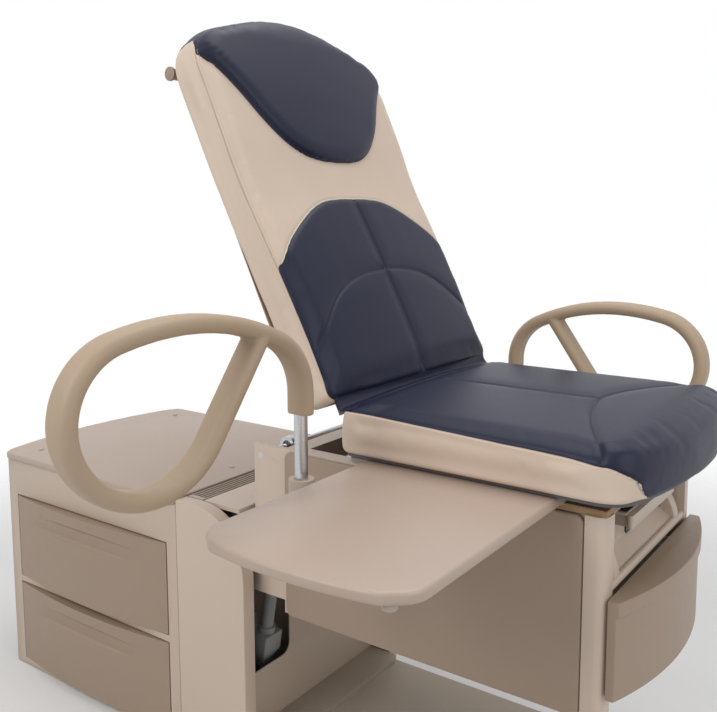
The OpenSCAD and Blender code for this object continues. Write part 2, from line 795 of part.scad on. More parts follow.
module seat_board() color("#6b5b47")
    round_block(seat_x0 + board_inset, seat_x1 - board_inset, -seat_half + board_inset, seat_half - board_inset,
        board_z, seat_z, post_d);

// Upholstery: rings of points, each a share of the outline, stacked to a crown
pad_n = 44;
corner_power = 7;
pad_rings = [[0.965, 0], [0.985, 0.06], [1, 0.3], [1, 0.62], [0.992, 0.82], [0.975, 0.93], [0.93, 0.985],
    [0.82, 1]];
crown_rings = [[0.62, 0.62], [0.4, 0.88], [0.18, 0.98]];

function sign_pow(v, p) = (v < 0 ? -1 : 1) * pow(abs(v), p);

// A point of the unit outline: near-rectangular, square at the hinge end and
// rounder at the other by the power given for it
function unit_point(k, end_power) =
    let (a = 360 * k / pad_n, c = cos(a), s = sin(a), p = c > 0 ? end_power : corner_power)
    [sign_pow(c, 2 / p), sign_pow(s, 2 / p)];

// Sides draw in a little between the corners
side_pull = 5;

function pad_point(k, share, l, w, end_power) =
    let (q = unit_point(k, end_power), pull = side_pull * (1 - q[0] * q[0]))
    [share * q[0] * l / 2, share * q[1] * (w / 2 - (abs(q[1]) > 0.9 ? pull : pull * abs(q[1])))];

// nose: the length over which the foot end rolls down; nose_share: what height is left there
function nose_share(x, l, nose, low) = nose == 0 || x < l / 2 - nose ? 1 :
    let (t = min(1, (x - l / 2 + nose) / nose)) low + (1 - low) * sqrt(max(0, 1 - t * t));

module pad(l, w, t, end_power, nose, low) {
    body_t = t - crown_h;
    rings = [for (r = pad_rings) [r[0], r[1] * body_t], for (c = crown_rings) [c[0], body_t + c[1] * crown_h]];
    pts = [for (r = rings, k = [0:pad_n - 1])
        let (p = pad_point(k, r[0], l, w, end_power)) [p[0], p[1], r[1] * nose_share(p[0], l, nose, low)]];
    last = len(rings) * pad_n;
    polyhedron(points = concat(pts, [[0, 0, 0], [0, 0, t]]),
        faces = concat(
            [for (k = [0:pad_n - 1]) [last, k, (k + 1) % pad_n]],
            [for (i = [0:len(rings) - 2], k = [0:pad_n - 1])
                let (a = i * pad_n + k, b = i * pad_n + (k + 1) % pad_n) [a, a + pad_n, b]],
            [for (i = [0:len(rings) - 2], k = [0:pad_n - 1])
                let (a = i * pad_n + k, b = i * pad_n + (k + 1) % pad_n) [b, a + pad_n, b + pad_n]],
            [for (k = [0:pad_n - 1])
                let (a = last - pad_n + k, b = last - pad_n + (k + 1) % pad_n) [last + 1, b, a]]));
}

seat_nose = 90;
seat_nose_low_share = 0.3;

module seat_cushion() color("#2c3352")
    translate([(seat_x0 + seat_x1) / 2, 0, seat_z])
        pad(seat_l, seat_w, seat_t, corner_power, seat_nose, seat_nose_low_share);

// SIDE SHELF
shelf_y0 = -half_c - shelf_out;
shelf_y1 = shelf_y0 + shelf_l;
shelf_corner = 46;
shelf_bow = 24;
knob_d = 22;
knob_h = 12;
knob_in_x = 42;
knob_in_y = 40;
guide_h = 12;

module shelf_outline() {
    r = (shelf_w * shelf_w / 4 + shelf_bow * shelf_bow) / (2 * shelf_bow);
    intersection() {
        union() {
            round_rect(shelf_x0, shelf_x1, shelf_y0 + shelf_bow, shelf_y1, shelf_corner);
            translate([shelf_x0, shelf_y1 - 2 * shelf_corner]) square([shelf_w, 2 * shelf_corner]);
            round_rect(shelf_x0, shelf_x1, shelf_y0, shelf_y1, 2 * shelf_corner);
        }
        union() {
            translate([(shelf_x0 + shelf_x1) / 2, shelf_y0 + r]) circle(r = r, $fn = 2 * fine);
            translate([shelf_x0, shelf_y0 + 4 * shelf_corner]) square([shelf_w, shelf_l]);
        }
    }
}

module side_shelf() color("#a89c8e")
    translate([0, 0, deck_z + shelf_lift]) linear_extrude(shelf_t) shelf_outline();

module shelf_knob() color("#c4bbab")
    translate([shelf_x1 - knob_in_x, shelf_y0 + knob_in_y, deck_z + shelf_lift - knob_h])
        cylinder(d = knob_d, h = knob_h, $fn = fine);

module shelf_rails() color("#4a4c4e")
    for (x = [shelf_x0 - slide_gap - guide_w, shelf_x1 + slide_gap])
        block(x, x + guide_w, -riser_half, riser_half, deck_z, deck_z + guide_h);

// ARMS
arm_x = 322;
socket_d = 46;
socket_z1 = 762;
socket_l = 165;
socket_fit = 0.08;
socket_arm_h = 60;
socket_arm_w = 34;
socket_drop = 30;
arm_clear = 26;
arm_low_z = shelf_top + arm_clear;
post_tail = 235;
post_head = 26;
bar_r = arm_h / 2;
shoulder_arm_r = 150;
heel_r = 34;

module arm_socket(side) color("#b3a892") on_side(side) difference() {
    z0 = socket_z1 - socket_l;
    bz = z0 + socket_drop;
    union() {
        translate([arm_x, arm_y, z0]) cylinder(d = socket_d, h = socket_l, $fn = fine);
        block(arm_x - socket_arm_w / 2, arm_x + socket_arm_w / 2, half_c, arm_y, bz, bz + socket_arm_h);
        round_block(arm_x - socket_arm_w, arm_x + socket_arm_w, half_c,
            half_c + panel_t, bz - socket_drop, bz + socket_arm_h + socket_drop, panel_t / 4);
    }
    translate([arm_x, arm_y, z0 - over])
        cylinder(d = arm_post_d + 2 * socket_fit, h = socket_l + 2 * over, $fn = fine);
}

module arm_post(side, lift) color("#9a9c9e")
    translate([arm_x, side * arm_y, arm_low_z + lift - post_tail]) cylinder(d = arm_post_d, h = post_tail + post_head,
        $fn = fine);

// Section of the arm tube: a flat oval, drawn across the loop
module arm_section() {
    square([arm_t, arm_w - arm_t], center = true);
    for (y = [-1, 1]) translate([0, y * (arm_w - arm_t) / 2]) circle(d = arm_t, $fn = mid);
}

module arm_bend(cx, cz, r, from, sweep)
    translate([cx, 0, cz]) rotate([90, 0, 0]) rotate([0, 0, from]) rotate_extrude(angle = sweep, $fn = 2 * fine)
        translate([r, 0]) arm_section();

module arm_bar(x0, z0, x1, z1) {
    len = norm([x1 - x0, z1 - z0]);
    translate([x0, 0, z0]) rotate([0, atan2(x1 - x0, z1 - z0), 0]) linear_extrude(len)
        arm_section();
}

strut_shares = [[0.215, 0.84], [0.54, 0]];

module arm_loop_shape() {
    x1 = arm_l - bar_r;
    difference() {
        union() {
            arm_bend(x1, bar_r, bar_r, -90, 180);
            arm_bar(heel_r, 0, x1, 0);
            arm_bend(heel_r, heel_r, heel_r, 180, 90);
            arm_bar(0, heel_r, 0, arm_h - shoulder_arm_r);
            arm_bend(shoulder_arm_r, arm_h - shoulder_arm_r, shoulder_arm_r, 90, 90);
            arm_bar(shoulder_arm_r, arm_h, x1, arm_h);
            arm_bar(strut_shares[0][0] * arm_l, strut_shares[0][1] * arm_h, strut_shares[1][0] * arm_l, 0);
            translate([0, 0, -arm_t / 2]) cylinder(d = arm_w - over, h = arm_t + heel_r, $fn = fine);
        }
        translate([0, 0, -arm_t]) cylinder(d = arm_post_d + 2 * socket_fit, h = arm_t + post_head + socket_fit, $fn = fine);
    }
}

module arm_loop_far() color("#bda98d")
    translate([arm_x, arm_y, arm_low_z]) arm_loop_shape();

module arm_loop_near() color("#bda98d")
    translate([arm_x, -arm_y, arm_low_z + near_arm_lift]) rotate([0, 0, -near_arm_swing]) arm_loop_shape();

// BACK, drawn flat at the hinge and turned up by back_angle
module in_back() translate([hinge_x, 0, hinge_z]) rotate([0, back_angle, 0]) mirror([1, 0, 0]) children();

lug_t = 6;
lug_gap = 1;
lug_y = 190;
lug_w = 18;
lug_foot = 40;
lug_r = 9;
frame_w = 26;
frame_h = 14;
frame_l = 620;
frame_y = 120;
frame_cross_share = [0.12, 0.5, 0.95];
back_board_z = face_up - back_t - board_t;

// Lugs on the carriage, on both sides of each back lug
module back_hinge_lugs() color("#55575a")
    for (side = [near, far]) on_side(side) {
        for (y = [lug_y - lug_t - lug_gap, lug_y + lug_t + lug_gap]) difference() {
            union() {
                rod_y(hinge_x, hinge_z, y - lug_t / 2, y + lug_t / 2, lug_w);
                block(hinge_x - lug_r, hinge_x + lug_r, y - lug_t / 2, y + lug_t / 2, frame_top, hinge_z);
                block(hinge_x - lug_foot, hinge_x + lug_r, y - lug_t / 2, y + lug_t / 2, frame_top - beam_h / 2,
                    frame_top + lug_foot);
            }
            rod_y(hinge_x, hinge_z, y - lug_t, y + lug_t, hinge_pin_d);
        }
        block(hinge_x - lug_foot, hinge_x + lug_r, lug_y - 2 * lug_t - lug_gap, beam_y - beam_w,
            frame_top - beam_h / 2 - lug_t, frame_top - beam_h / 2);
    }

module hinge_pins() color("#b9bcbe")
    for (side = [near, far]) on_side(side)
        rod_y(hinge_x, hinge_z, lug_y - 2 * lug_t, lug_y + 2 * lug_t, hinge_pin_d);

module back_frame() color("#4d4f52") in_back() {
    z1 = back_board_z;
    z0 = z1 - frame_h;
    for (side = [near, far]) on_side(side) {
        difference() {
            union() {
                rod_y(0, 0, lug_y - lug_t / 2, lug_y + lug_t / 2, lug_w);
                // The lug hooks down behind the cushion's end to the frame
                block(-lug_r, lug_r, lug_y - lug_t / 2, lug_y + lug_t / 2, z0, 0);
            }
            rod_y(0, 0, lug_y - lug_t, lug_y + lug_t, hinge_pin_d + 2 * pin_fit);
        }
        block(-lug_r, frame_cross_share[0] * frame_l, lug_y - lug_t / 2, lug_y + lug_t / 2, z0, z1);
        block(back_u0, frame_l, frame_y - frame_w / 2, frame_y + frame_w / 2, z0, z1);
    }
    for (share = frame_cross_share)
        block(share * frame_l - frame_w / 2, share * frame_l + frame_w / 2, -lug_y, lug_y, z0, z1);
}

head_power = 4;

module back_outline(inset) {
    l = back_l - 2 * inset;
    w = seat_w - 2 * inset;
    translate([(back_u0 + back_u1) / 2, 0])
        polygon([for (k = [0:pad_n - 1]) let (q = unit_point(k, head_power)) [q[0] * l / 2, q[1] * w / 2]]);
}

module back_board() color("#6b5b47") in_back()
    translate([0, 0, back_board_z]) linear_extrude(board_t) back_outline(board_inset);

roll_inset = 95;
roll_u = back_u1 - roll_inset;
roll_d = 24;
roll_drop = 16;
roll_half = 285;
roll_bracket_w = 34;
shell_depth = 24;
shell_start = 170;
shell_inset = 26;

module shell_outline(inset, start) intersection() {
    back_outline(inset);
    round_rect(start, back_u1 + shell_inset, -seat_half + inset, seat_half - inset, shell_inset);
}

// Moulded cover behind the head half: a shallow lens, open over the frame
module back_shell() color("#978a7c") in_back() {
    difference() {
        hull() {
            translate([0, 0, back_board_z - over]) linear_extrude(over) shell_outline(shell_inset, shell_start);
            translate([0, 0, back_board_z - shell_depth]) linear_extrude(over)
                shell_outline(2 * shell_inset, shell_start + shell_inset);
        }
        block(shell_start - over, frame_l + frame_w, -lug_y - frame_w / 2, lug_y + frame_w / 2,
            back_board_z - frame_h - reveal, back_board_z + over);
        // Slots for the brackets of the roll bar
        for (side = [near, far]) on_side(side)
            block(roll_u - roll_bracket_w / 2 - slide_gap, roll_u + roll_bracket_w / 2 + slide_gap,
                lug_y - slide_gap, lug_y + lug_t + slide_gap, back_board_z - shell_depth - over, back_board_z + over);
    }
}

module back_cushion() color("#cdbfae") in_back()
    translate([(back_u0 + back_u1) / 2, 0, face_up - back_t])
        pad(back_l, seat_w, back_t, head_power, 0, 1);

module roll_bar() color("#7d7064") in_back() {
    z = back_board_z - shell_depth - roll_drop;
    rod_y(roll_u, z, -roll_half, roll_half, roll_d);
    for (side = [near, far]) on_side(side) {
        rod_y(roll_u, z, roll_half, roll_half + lug_t, roll_d + lug_t);
        difference() {
            block(roll_u - roll_bracket_w / 2, roll_u + roll_bracket_w / 2, lug_y, lug_y + lug_t,
                z, back_board_z);
            rod_y(roll_u, z, lug_y - over, lug_y + lug_t + over, roll_d);
        }
    }
}

base_plate();
leveling_feet();
tower_frame();
guide_rails();
tower_front_cover();
column_cover(near);  // column_cover_near
column_cover(far);  // column_cover_far
tower_top_cover();
vent_grille();
cabinet_shell();
cabinet_worktop();
worktop_plugs();
cabinet_drawer_rails();
upper_drawer_front();
upper_drawer_box();
lower_drawer_front();
lower_drawer_box();
lift_pivot_block();
lift_actuator();
lift_rod();
lift_cross_shaft();
carriage_frame();
guide_blocks();
side_panel(near);  // side_panel_near
side_panel(far);  // side_panel_far
top_deck();
front_bay();
stirrup_cover(near);  // stirrup_cover_near
stirrup_cover(far);  // stirrup_cover_far
sector_plates();
pan_rails();
treatment_pan();
switch_bezel();
rocker_switch();
front_drawer_rails();
front_drawer_front();
front_drawer_box();
seat_risers();
seat_board();
seat_cushion();
shelf_rails();
side_shelf();
shelf_knob();
arm_socket(near);  // arm_socket_near
arm_socket(far);  // arm_socket_far
arm_post(near, near_arm_lift);  // arm_post_near
arm_post(far, 0);  // arm_post_far
arm_loop_near();
arm_loop_far();
back_hinge_lugs();
hinge_pins();
back_frame();
back_board();
back_shell();
back_cushion();
roll_bar();
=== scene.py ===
"""Looks of a powered examination table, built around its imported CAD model."""
import json
import math

import bpy
import numpy as np
from mathutils import Matrix, Vector
from mathutils.bvhtree import BVHTree


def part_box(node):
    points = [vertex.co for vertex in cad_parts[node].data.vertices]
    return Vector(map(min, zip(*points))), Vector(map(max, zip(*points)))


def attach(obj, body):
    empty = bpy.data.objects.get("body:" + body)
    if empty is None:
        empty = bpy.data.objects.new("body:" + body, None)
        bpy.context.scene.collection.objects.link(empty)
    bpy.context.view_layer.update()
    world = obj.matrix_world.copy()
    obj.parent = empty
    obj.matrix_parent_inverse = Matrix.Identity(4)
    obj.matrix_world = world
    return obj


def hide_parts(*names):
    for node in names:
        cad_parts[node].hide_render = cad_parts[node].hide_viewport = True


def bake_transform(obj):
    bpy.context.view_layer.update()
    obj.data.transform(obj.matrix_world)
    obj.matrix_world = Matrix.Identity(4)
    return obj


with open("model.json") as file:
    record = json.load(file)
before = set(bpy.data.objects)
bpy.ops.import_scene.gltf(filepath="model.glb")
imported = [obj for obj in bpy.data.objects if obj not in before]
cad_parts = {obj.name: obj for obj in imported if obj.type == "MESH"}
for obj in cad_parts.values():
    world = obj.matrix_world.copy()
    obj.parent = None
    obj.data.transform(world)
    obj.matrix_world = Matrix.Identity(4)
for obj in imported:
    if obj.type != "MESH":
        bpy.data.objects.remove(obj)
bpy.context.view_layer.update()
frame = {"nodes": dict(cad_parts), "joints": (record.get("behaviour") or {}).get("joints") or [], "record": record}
nodes = frame["nodes"]
MM = 0.001

# Sizes that come from the CAD model's own boxes
seat_low, seat_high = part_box("seat_cushion")
recline = next(j for j in frame["joints"] if j["name"] == "back_recline")
back_hinge = Vector(recline["pos_m"])
back_tilt = -math.radians(recline["range_deg"][0])

# The back is shaped lying flat, in line with the seat, and then turned up
TURN_UP = (Matrix.Translation(back_hinge) @ Matrix.Rotation(back_tilt, 4, "Y")
           @ Matrix.Translation(-back_hinge))
LAY_FLAT = TURN_UP.inverted()


# Working in Blender

def deselect():
    if bpy.context.mode != "OBJECT":
        bpy.ops.object.mode_set(mode="OBJECT")
    bpy.ops.object.select_all(action="DESELECT")


def pick(piece):
    deselect()
    piece.select_set(True)
    bpy.context.view_layer.objects.active = piece


def apply_modifiers(piece):
    pick(piece)
    for name in [m.name for m in piece.modifiers]:
        bpy.ops.object.modifier_apply(modifier=name)


# Faces of a CAD node that meet at less than this are one flat face
FLAT_DEG = 1.0


def merged_copy(node, name):
    """A copy of a CAD node with its loose triangles joined into clean faces."""
    piece = bpy.data.objects.new(name, nodes[node].data.copy())
    bpy.context.scene.collection.objects.link(piece)
    piece.data.materials.clear()
    pick(piece)
    if piece.data.has_custom_normals:
        bpy.ops.mesh.customdata_custom_splitnormals_clear()
    bpy.ops.object.mode_set(mode="EDIT")
    bpy.ops.mesh.select_all(action="SELECT")
    bpy.ops.mesh.remove_doubles(threshold=0.02 * MM)
    bpy.ops.mesh.dissolve_limited(angle_limit=math.radians(FLAT_DEG))
    bpy.ops.object.mode_set(mode="OBJECT")
    return piece


def smooth_by_angle(piece, degrees=32):
    pick(piece)
    bpy.ops.object.shade_smooth_by_angle(angle=math.radians(degrees))


def place(piece, body, material, replaced=()):
    """Gives a finished piece its material and its body, and hides the CAD nodes that it stands for."""
    piece.data.materials.clear()
    piece.data.materials.append(material)
    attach(piece, body)
    if replaced:
        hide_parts(*replaced)


# Shader groups that several materials share

def new_group(name, inputs, outputs):
    group = bpy.data.node_groups.new(name, "ShaderNodeTree")
    for label, kind, value in inputs:
        socket = group.interface.new_socket(label, in_out="INPUT", socket_type=kind)
        if value is not None:
            socket.default_value = value
    for label, kind in outputs:
        group.interface.new_socket(label, in_out="OUTPUT", socket_type=kind)
    return group, group.nodes.new("NodeGroupInput"), group.nodes.new("NodeGroupOutput")


def math_node(tree, operation, first, second=None):
    node = tree.nodes.new("ShaderNodeMath")
    node.operation = operation
    for socket, value in zip(node.inputs, (first, second)):
        if value is None:
            continue
        if isinstance(value, (int, float)):
            socket.default_value = value
        else:
            tree.links.new(value, socket)
    return node.outputs[0]


def object_noise(tree, scale, detail=2.0, roughness=0.5, stretch=(1, 1, 1)):
    """Noise on the piece's own coordinates, in cells of 1 / scale metres."""
    place_node = tree.nodes.new("ShaderNodeTexCoord")
    mapping = tree.nodes.new("ShaderNodeMapping")
    mapping.inputs["Scale"].default_value = stretch
    noise = tree.nodes.new("ShaderNodeTexNoise")
    noise.inputs["Detail"].default_value = detail
    noise.inputs["Roughness"].default_value = roughness
    tree.links.new(place_node.outputs["Object"], mapping.inputs["Vector"])
    tree.links.new(mapping.outputs["Vector"], noise.inputs["Vector"])
    if isinstance(scale, (int, float)):
        noise.inputs["Scale"].default_value = scale
    else:
        tree.links.new(scale, noise.inputs["Scale"])
    return noise.outputs["Fac"]


def tone_drift_group():
    """Slow drift of tone, as large mouldings and skins of vinyl have."""
    group, inlet, outlet = new_group(
        "tone_drift",
        [("Color", "NodeSocketColor", (0.5, 0.5, 0.5, 1)),
         ("Amount", "NodeSocketFloat", 0.06),
         ("Scale", "NodeSocketFloat", 5.0)],
        [("Color", "NodeSocketColor")])
    wide = object_noise(group, inlet.outputs["Scale"], detail=3)
    centred = math_node(group, "SUBTRACT", wide, 0.5)
    swing = math_node(group, "MULTIPLY", centred, inlet.outputs["Amount"])
    factor = math_node(group, "ADD", swing, 1.0)
    scaled = group.nodes.new("ShaderNodeVectorMath")
    scaled.operation = "SCALE"
    group.links.new(inlet.outputs["Color"], scaled.inputs[0])
    group.links.new(factor, scaled.inputs["Scale"])
    group.links.new(scaled.outputs["Vector"], outlet.inputs["Color"])
    return group


def moulded_grain_group():
    """Fine even pimples of a moulded or powder-coated skin: a height and a roughness mask."""
    group, inlet, outlet = new_group(
        "moulded_grain",
        [("Scale", "NodeSocketFloat", 900.0), ("Base", "NodeSocketFloat", 0.5),
         ("Spread", "NodeSocketFloat", 0.1)],
        [("Height", "NodeSocketFloat"), ("Roughness", "NodeSocketFloat")])
    fine = object_noise(group, inlet.outputs["Scale"], detail=3, roughness=0.6)
    coarse = object_noise(group, 60.0, detail=2)
    group.links.new(fine, outlet.inputs["Height"])
    centred = math_node(group, "SUBTRACT", coarse, 0.5)
    swing = math_node(group, "MULTIPLY", centred, inlet.outputs["Spread"])
    total = math_node(group, "ADD", swing, inlet.outputs["Base"])
    group.links.new(total, outlet.inputs["Roughness"])
    return group


def vinyl_grain_group():
    """Pebbled grain of upholstery vinyl: small cells, drawn out a little, with pores."""
    group, inlet, outlet = new_group(
        "vinyl_grain",
        [("Scale", "NodeSocketFloat", 620.0), ("Stretch", "NodeSocketVector", (1, 1, 1))],
        [("Height", "NodeSocketFloat"), ("Crease", "NodeSocketFloat")])
    coords = group.nodes.new("ShaderNodeTexCoord")
    stretch = group.nodes.new("ShaderNodeVectorMath")
    stretch.operation = "MULTIPLY"
    group.links.new(coords.outputs["Object"], stretch.inputs[0])
    group.links.new(inlet.outputs["Stretch"], stretch.inputs[1])
    warp = group.nodes.new("ShaderNodeTexNoise")
    warp.inputs["Scale"].default_value = 240.0
    warp.inputs["Detail"].default_value = 2.0
    group.links.new(stretch.outputs["Vector"], warp.inputs["Vector"])
    shift = group.nodes.new("ShaderNodeVectorMath")
    shift.operation = "MULTIPLY_ADD"
    shift.inputs[1].default_value = (0.0022, 0.0022, 0.0022)
    group.links.new(warp.outputs["Color"], shift.inputs[0])
    group.links.new(stretch.outputs["Vector"], shift.inputs[2])
    cells = group.nodes.new("ShaderNodeTexVoronoi")
    cells.feature = "DISTANCE_TO_EDGE"
    group.links.new(shift.outputs["Vector"], cells.inputs["Vector"])
    group.links.new(inlet.outputs["Scale"], cells.inputs["Scale"])
    pebble = math_node(group, "SMOOTH_MIN", cells.outputs["Distance"], 0.35)
    pores = object_noise(group, 1500.0, detail=2)
    fine = math_node(group, "MULTIPLY", pores, 0.25)
    group.links.new(math_node(group, "ADD", pebble, fine), outlet.inputs["Height"])
    crease = math_node(group, "LESS_THAN", cells.outputs["Distance"], 0.06)
    group.links.new(crease, outlet.inputs["Crease"])
    return group


TONE_DRIFT = tone_drift_group()
MOULDED_GRAIN = moulded_grain_group()
VINYL_GRAIN = vinyl_grain_group()


# Materials

def srgb(red, green, blue):
    """A colour as the eye reads it, 0 to 255, turned to the linear values that shaders take."""
    def linear(value):
        share = value / 255
        return share / 12.92 if share <= 0.04045 else ((share + 0.055) / 1.055) ** 2.4
    return (linear(red), linear(green), linear(blue), 1.0)


# Each finished material by its own name, which for most is that of a slot
SLOT_MATERIALS = {}


def shader_tree(name):
    material = bpy.data.materials.new(name)
    material.use_nodes = True
    SLOT_MATERIALS[name] = material
    return material, material.node_tree, material.node_tree.nodes["Principled BSDF"]


def add_group(tree, group, **values):
    node = tree.nodes.new("ShaderNodeGroup")
    node.node_tree = group
    for label, value in values.items():
        node.inputs[label].default_value = value
    return node


def bump(tree, height, depth_mm, strength=1.0):
    node = tree.nodes.new("ShaderNodeBump")
    node.inputs["Strength"].default_value = strength
    node.inputs["Distance"].default_value = depth_mm * MM
    tree.links.new(height, node.inputs["Height"])
    return node.outputs["Normal"]


def moulded(name, colour, roughness=0.5, grain_mm=1.1, depth_mm=0.05, drift=0.05):
    """Moulded plastic or powder-coated steel: slow drift of tone under a fine grain."""
    material, tree, shader = shader_tree(name)
    tone = add_group(tree, TONE_DRIFT, Color=colour, Amount=drift, Scale=4.0)
    tree.links.new(tone.outputs["Color"], shader.inputs["Base Color"])
    grain = add_group(tree, MOULDED_GRAIN, Scale=1 / (grain_mm * MM), Base=roughness, Spread=0.12)
    tree.links.new(grain.outputs["Roughness"], shader.inputs["Roughness"])
    tree.links.new(bump(tree, grain.outputs["Height"], depth_mm), shader.inputs["Normal"])
    return material


def brushed_steel(name, colour, roughness=0.28, stretch=(1, 1, 24)):
    """Ground steel with fine lines along one direction."""
    material, tree, shader = shader_tree(name)
    shader.inputs["Metallic"].default_value = 1.0
    tone = add_group(tree, TONE_DRIFT, Color=colour, Amount=0.12, Scale=30.0)
    tree.links.new(tone.outputs["Color"], shader.inputs["Base Color"])
    lines = object_noise(tree, 180.0, detail=4, roughness=0.7, stretch=stretch)
    swing = math_node(tree, "MULTIPLY", lines, 0.2)
    tree.links.new(math_node(tree, "ADD", swing, roughness - 0.1), shader.inputs["Roughness"])
    tree.links.new(bump(tree, lines, 0.02), shader.inputs["Normal"])
    return material


def plywood(name):
    """Sealed board with long growth lines on its faces."""
    material, tree, shader = shader_tree(name)
    lines = object_noise(tree, 14.0, detail=6, roughness=0.65, stretch=(1, 12, 30))
    ramp = tree.nodes.new("ShaderNodeValToRGB")
    ramp.color_ramp.elements[0].color = srgb(120, 92, 62)
    ramp.color_ramp.elements[0].position = 0.35
    ramp.color_ramp.elements[1].color = srgb(176, 142, 100)
    ramp.color_ramp.elements[1].position = 0.7
    tree.links.new(lines, ramp.inputs["Fac"])
    tree.links.new(ramp.outputs["Color"], shader.inputs["Base Color"])
    tree.links.new(bump(tree, lines, 0.15), shader.inputs["Normal"])
    shader.inputs["Roughness"].default_value = 0.55
    return material


NAVY = srgb(25, 28, 50)
BEIGE = srgb(210, 191, 174)
# Half the width in mm over which one colour gives way to the other, then how far the colour is scaled
# down at a seam as painted shade in its crease, and how many mm that painted shade reaches
COLOUR_EDGE = 0.25
SEAM_PAINTED_SHADE = 0.55
SEAM_PAINTED_SHADE_MM = 2.2


def vinyl(name):
    """Two-tone upholstery vinyl. The attribute navy is the distance in mm from the edge where the
    colours meet, and seam is the distance in mm to the nearest seam, where painted shade darkens it."""
    material, tree, shader = shader_tree(name)
    colour = tree.nodes.new("ShaderNodeMix")
    colour.data_type = "RGBA"
    colour.inputs["A"].default_value = BEIGE
    colour.inputs["B"].default_value = NAVY
    side = tree.nodes.new("ShaderNodeAttribute")
    side.attribute_name = "navy"
    edge = tree.nodes.new("ShaderNodeMapRange")
    edge.inputs["From Min"].default_value = -COLOUR_EDGE
    edge.inputs["From Max"].default_value = COLOUR_EDGE
    tree.links.new(side.outputs["Fac"], edge.inputs["Value"])
    tree.links.new(edge.outputs["Result"], colour.inputs["Factor"])
    tone = add_group(tree, TONE_DRIFT, Amount=0.10, Scale=7.0)
    tree.links.new(colour.outputs["Result"], tone.inputs["Color"])
    # Painted shade: near a seam the base colour is darkened, standing for the shade in its crease
    seam = tree.nodes.new("ShaderNodeAttribute")
    seam.attribute_name = "seam"
    seam_painted_shade = tree.nodes.new("ShaderNodeMapRange")
    seam_painted_shade.inputs["From Max"].default_value = SEAM_PAINTED_SHADE_MM
    seam_painted_shade.inputs["To Min"].default_value = SEAM_PAINTED_SHADE
    seam_painted_shade.inputs["To Max"].default_value = 1.0
    tree.links.new(seam.outputs["Fac"], seam_painted_shade.inputs["Value"])
    shade = tree.nodes.new("ShaderNodeVectorMath")
    shade.operation = "SCALE"
    tree.links.new(tone.outputs["Color"], shade.inputs[0])
    tree.links.new(seam_painted_shade.outputs["Result"], shade.inputs["Scale"])
    tree.links.new(shade.outputs["Vector"], shader.inputs["Base Color"])
    grain = add_group(tree, VINYL_GRAIN, Scale=620.0, Stretch=(0.7, 1.0, 1.0))
    rough = tree.nodes.new("ShaderNodeMapRange")
    rough.inputs["To Min"].default_value = 0.46
    rough.inputs["To Max"].default_value = 0.40
    tree.links.new(edge.outputs["Result"], rough.inputs["Value"])
    pores = math_node(tree, "MULTIPLY", grain.outputs["Crease"], 0.08)
    tree.links.new(math_node(tree, "ADD", rough.outputs["Result"], pores),
                   shader.inputs["Roughness"])
    tree.links.new(bump(tree, grain.outputs["Height"], 0.10, 0.6), shader.inputs["Normal"])
    shader.inputs["Specular IOR Level"].default_value = 0.24
    return material


def arm_foam(name):
    """Self-skinned foam of the arms: satin, with a faint mottle."""
    material, tree, shader = shader_tree(name)
    tone = add_group(tree, TONE_DRIFT, Color=srgb(174, 153, 129), Amount=0.09, Scale=9.0)
    tree.links.new(tone.outputs["Color"], shader.inputs["Base Color"])
    grain = add_group(tree, MOULDED_GRAIN, Scale=1400.0, Base=0.52, Spread=0.16)
    tree.links.new(grain.outputs["Roughness"], shader.inputs["Roughness"])
    tree.links.new(bump(tree, grain.outputs["Height"], 0.04), shader.inputs["Normal"])
    shader.inputs["Specular IOR Level"].default_value = 0.4
    return material


VINYL = vinyl("upholstery_vinyl")
PIPING = moulded("piping_vinyl", srgb(205, 198, 178), 0.45)
# The seat board is a real part; its dark grey is painted shadow, the thin shadow line under the seat's rim
BOARD_PAINTED_SHADE = moulded("board_painted_shade_grey", srgb(84, 80, 80), 0.55)
THREAD = moulded("stitch_thread", srgb(196, 180, 160), 0.7)
ARM_FOAM = arm_foam("arm_foam_skin")
moulded("warm_white_shell", srgb(199, 181, 165), 0.42)
moulded("cabinet_paint", srgb(190, 173, 156), 0.45, drift=0.04)
TAUPE = moulded("taupe_panel", srgb(154, 134, 116), 0.46, depth_mm=0.07)
moulded("worktop_laminate", srgb(179, 160, 146), 0.40, grain_mm=0.8)
moulded("plastic_trim", srgb(178, 163, 148), 0.50)
moulded("base_paint", srgb(160, 147, 132), 0.50)
moulded("frame_steel", srgb(88, 88, 92), 0.48, drift=0.08)
moulded("actuator_grey", srgb(150, 150, 149), 0.42, grain_mm=1.6, depth_mm=0.12)
moulded("black_rubber", srgb(36, 36, 36), 0.75)
moulded("guide_polymer", srgb(52, 52, 55), 0.55)
moulded("drawer_liner", srgb(212, 207, 198), 0.42)
moulded("pan_white", srgb(184, 170, 154), 0.36)
moulded("sector_brown", srgb(112, 98, 90), 0.50)
moulded("switch_dark", srgb(66, 56, 48), 0.45)
moulded("switch_teal", srgb(20, 106, 110), 0.22, drift=0.03, depth_mm=0.01)
brushed_steel("machined_steel", srgb(190, 191, 193))
brushed_steel("rail_zinc", srgb(184, 186, 188), 0.38, stretch=(24, 24, 1))
plywood("board_ply")
SLOT_MATERIALS.update(navy_vinyl=VINYL, beige_vinyl=VINYL, arm_foam=ARM_FOAM)

node_slot = {part["node"]: part["material_slot"] for part in frame["record"]["subparts"]}
bodies = frame["record"]["behaviour"]["bodies"]
node_body = {node: body for body, members in bodies.items() for node in members}


def paint_cad_nodes():
    """Every CAD node gets its slot's material; those that are replaced later are hidden then."""
    for name, node in nodes.items():
        node.data.materials.clear()
        node.data.materials.append(SLOT_MATERIALS[node_slot[name]])


# Rigid pieces: the CAD form with the radii that mouldings and sheet metal have

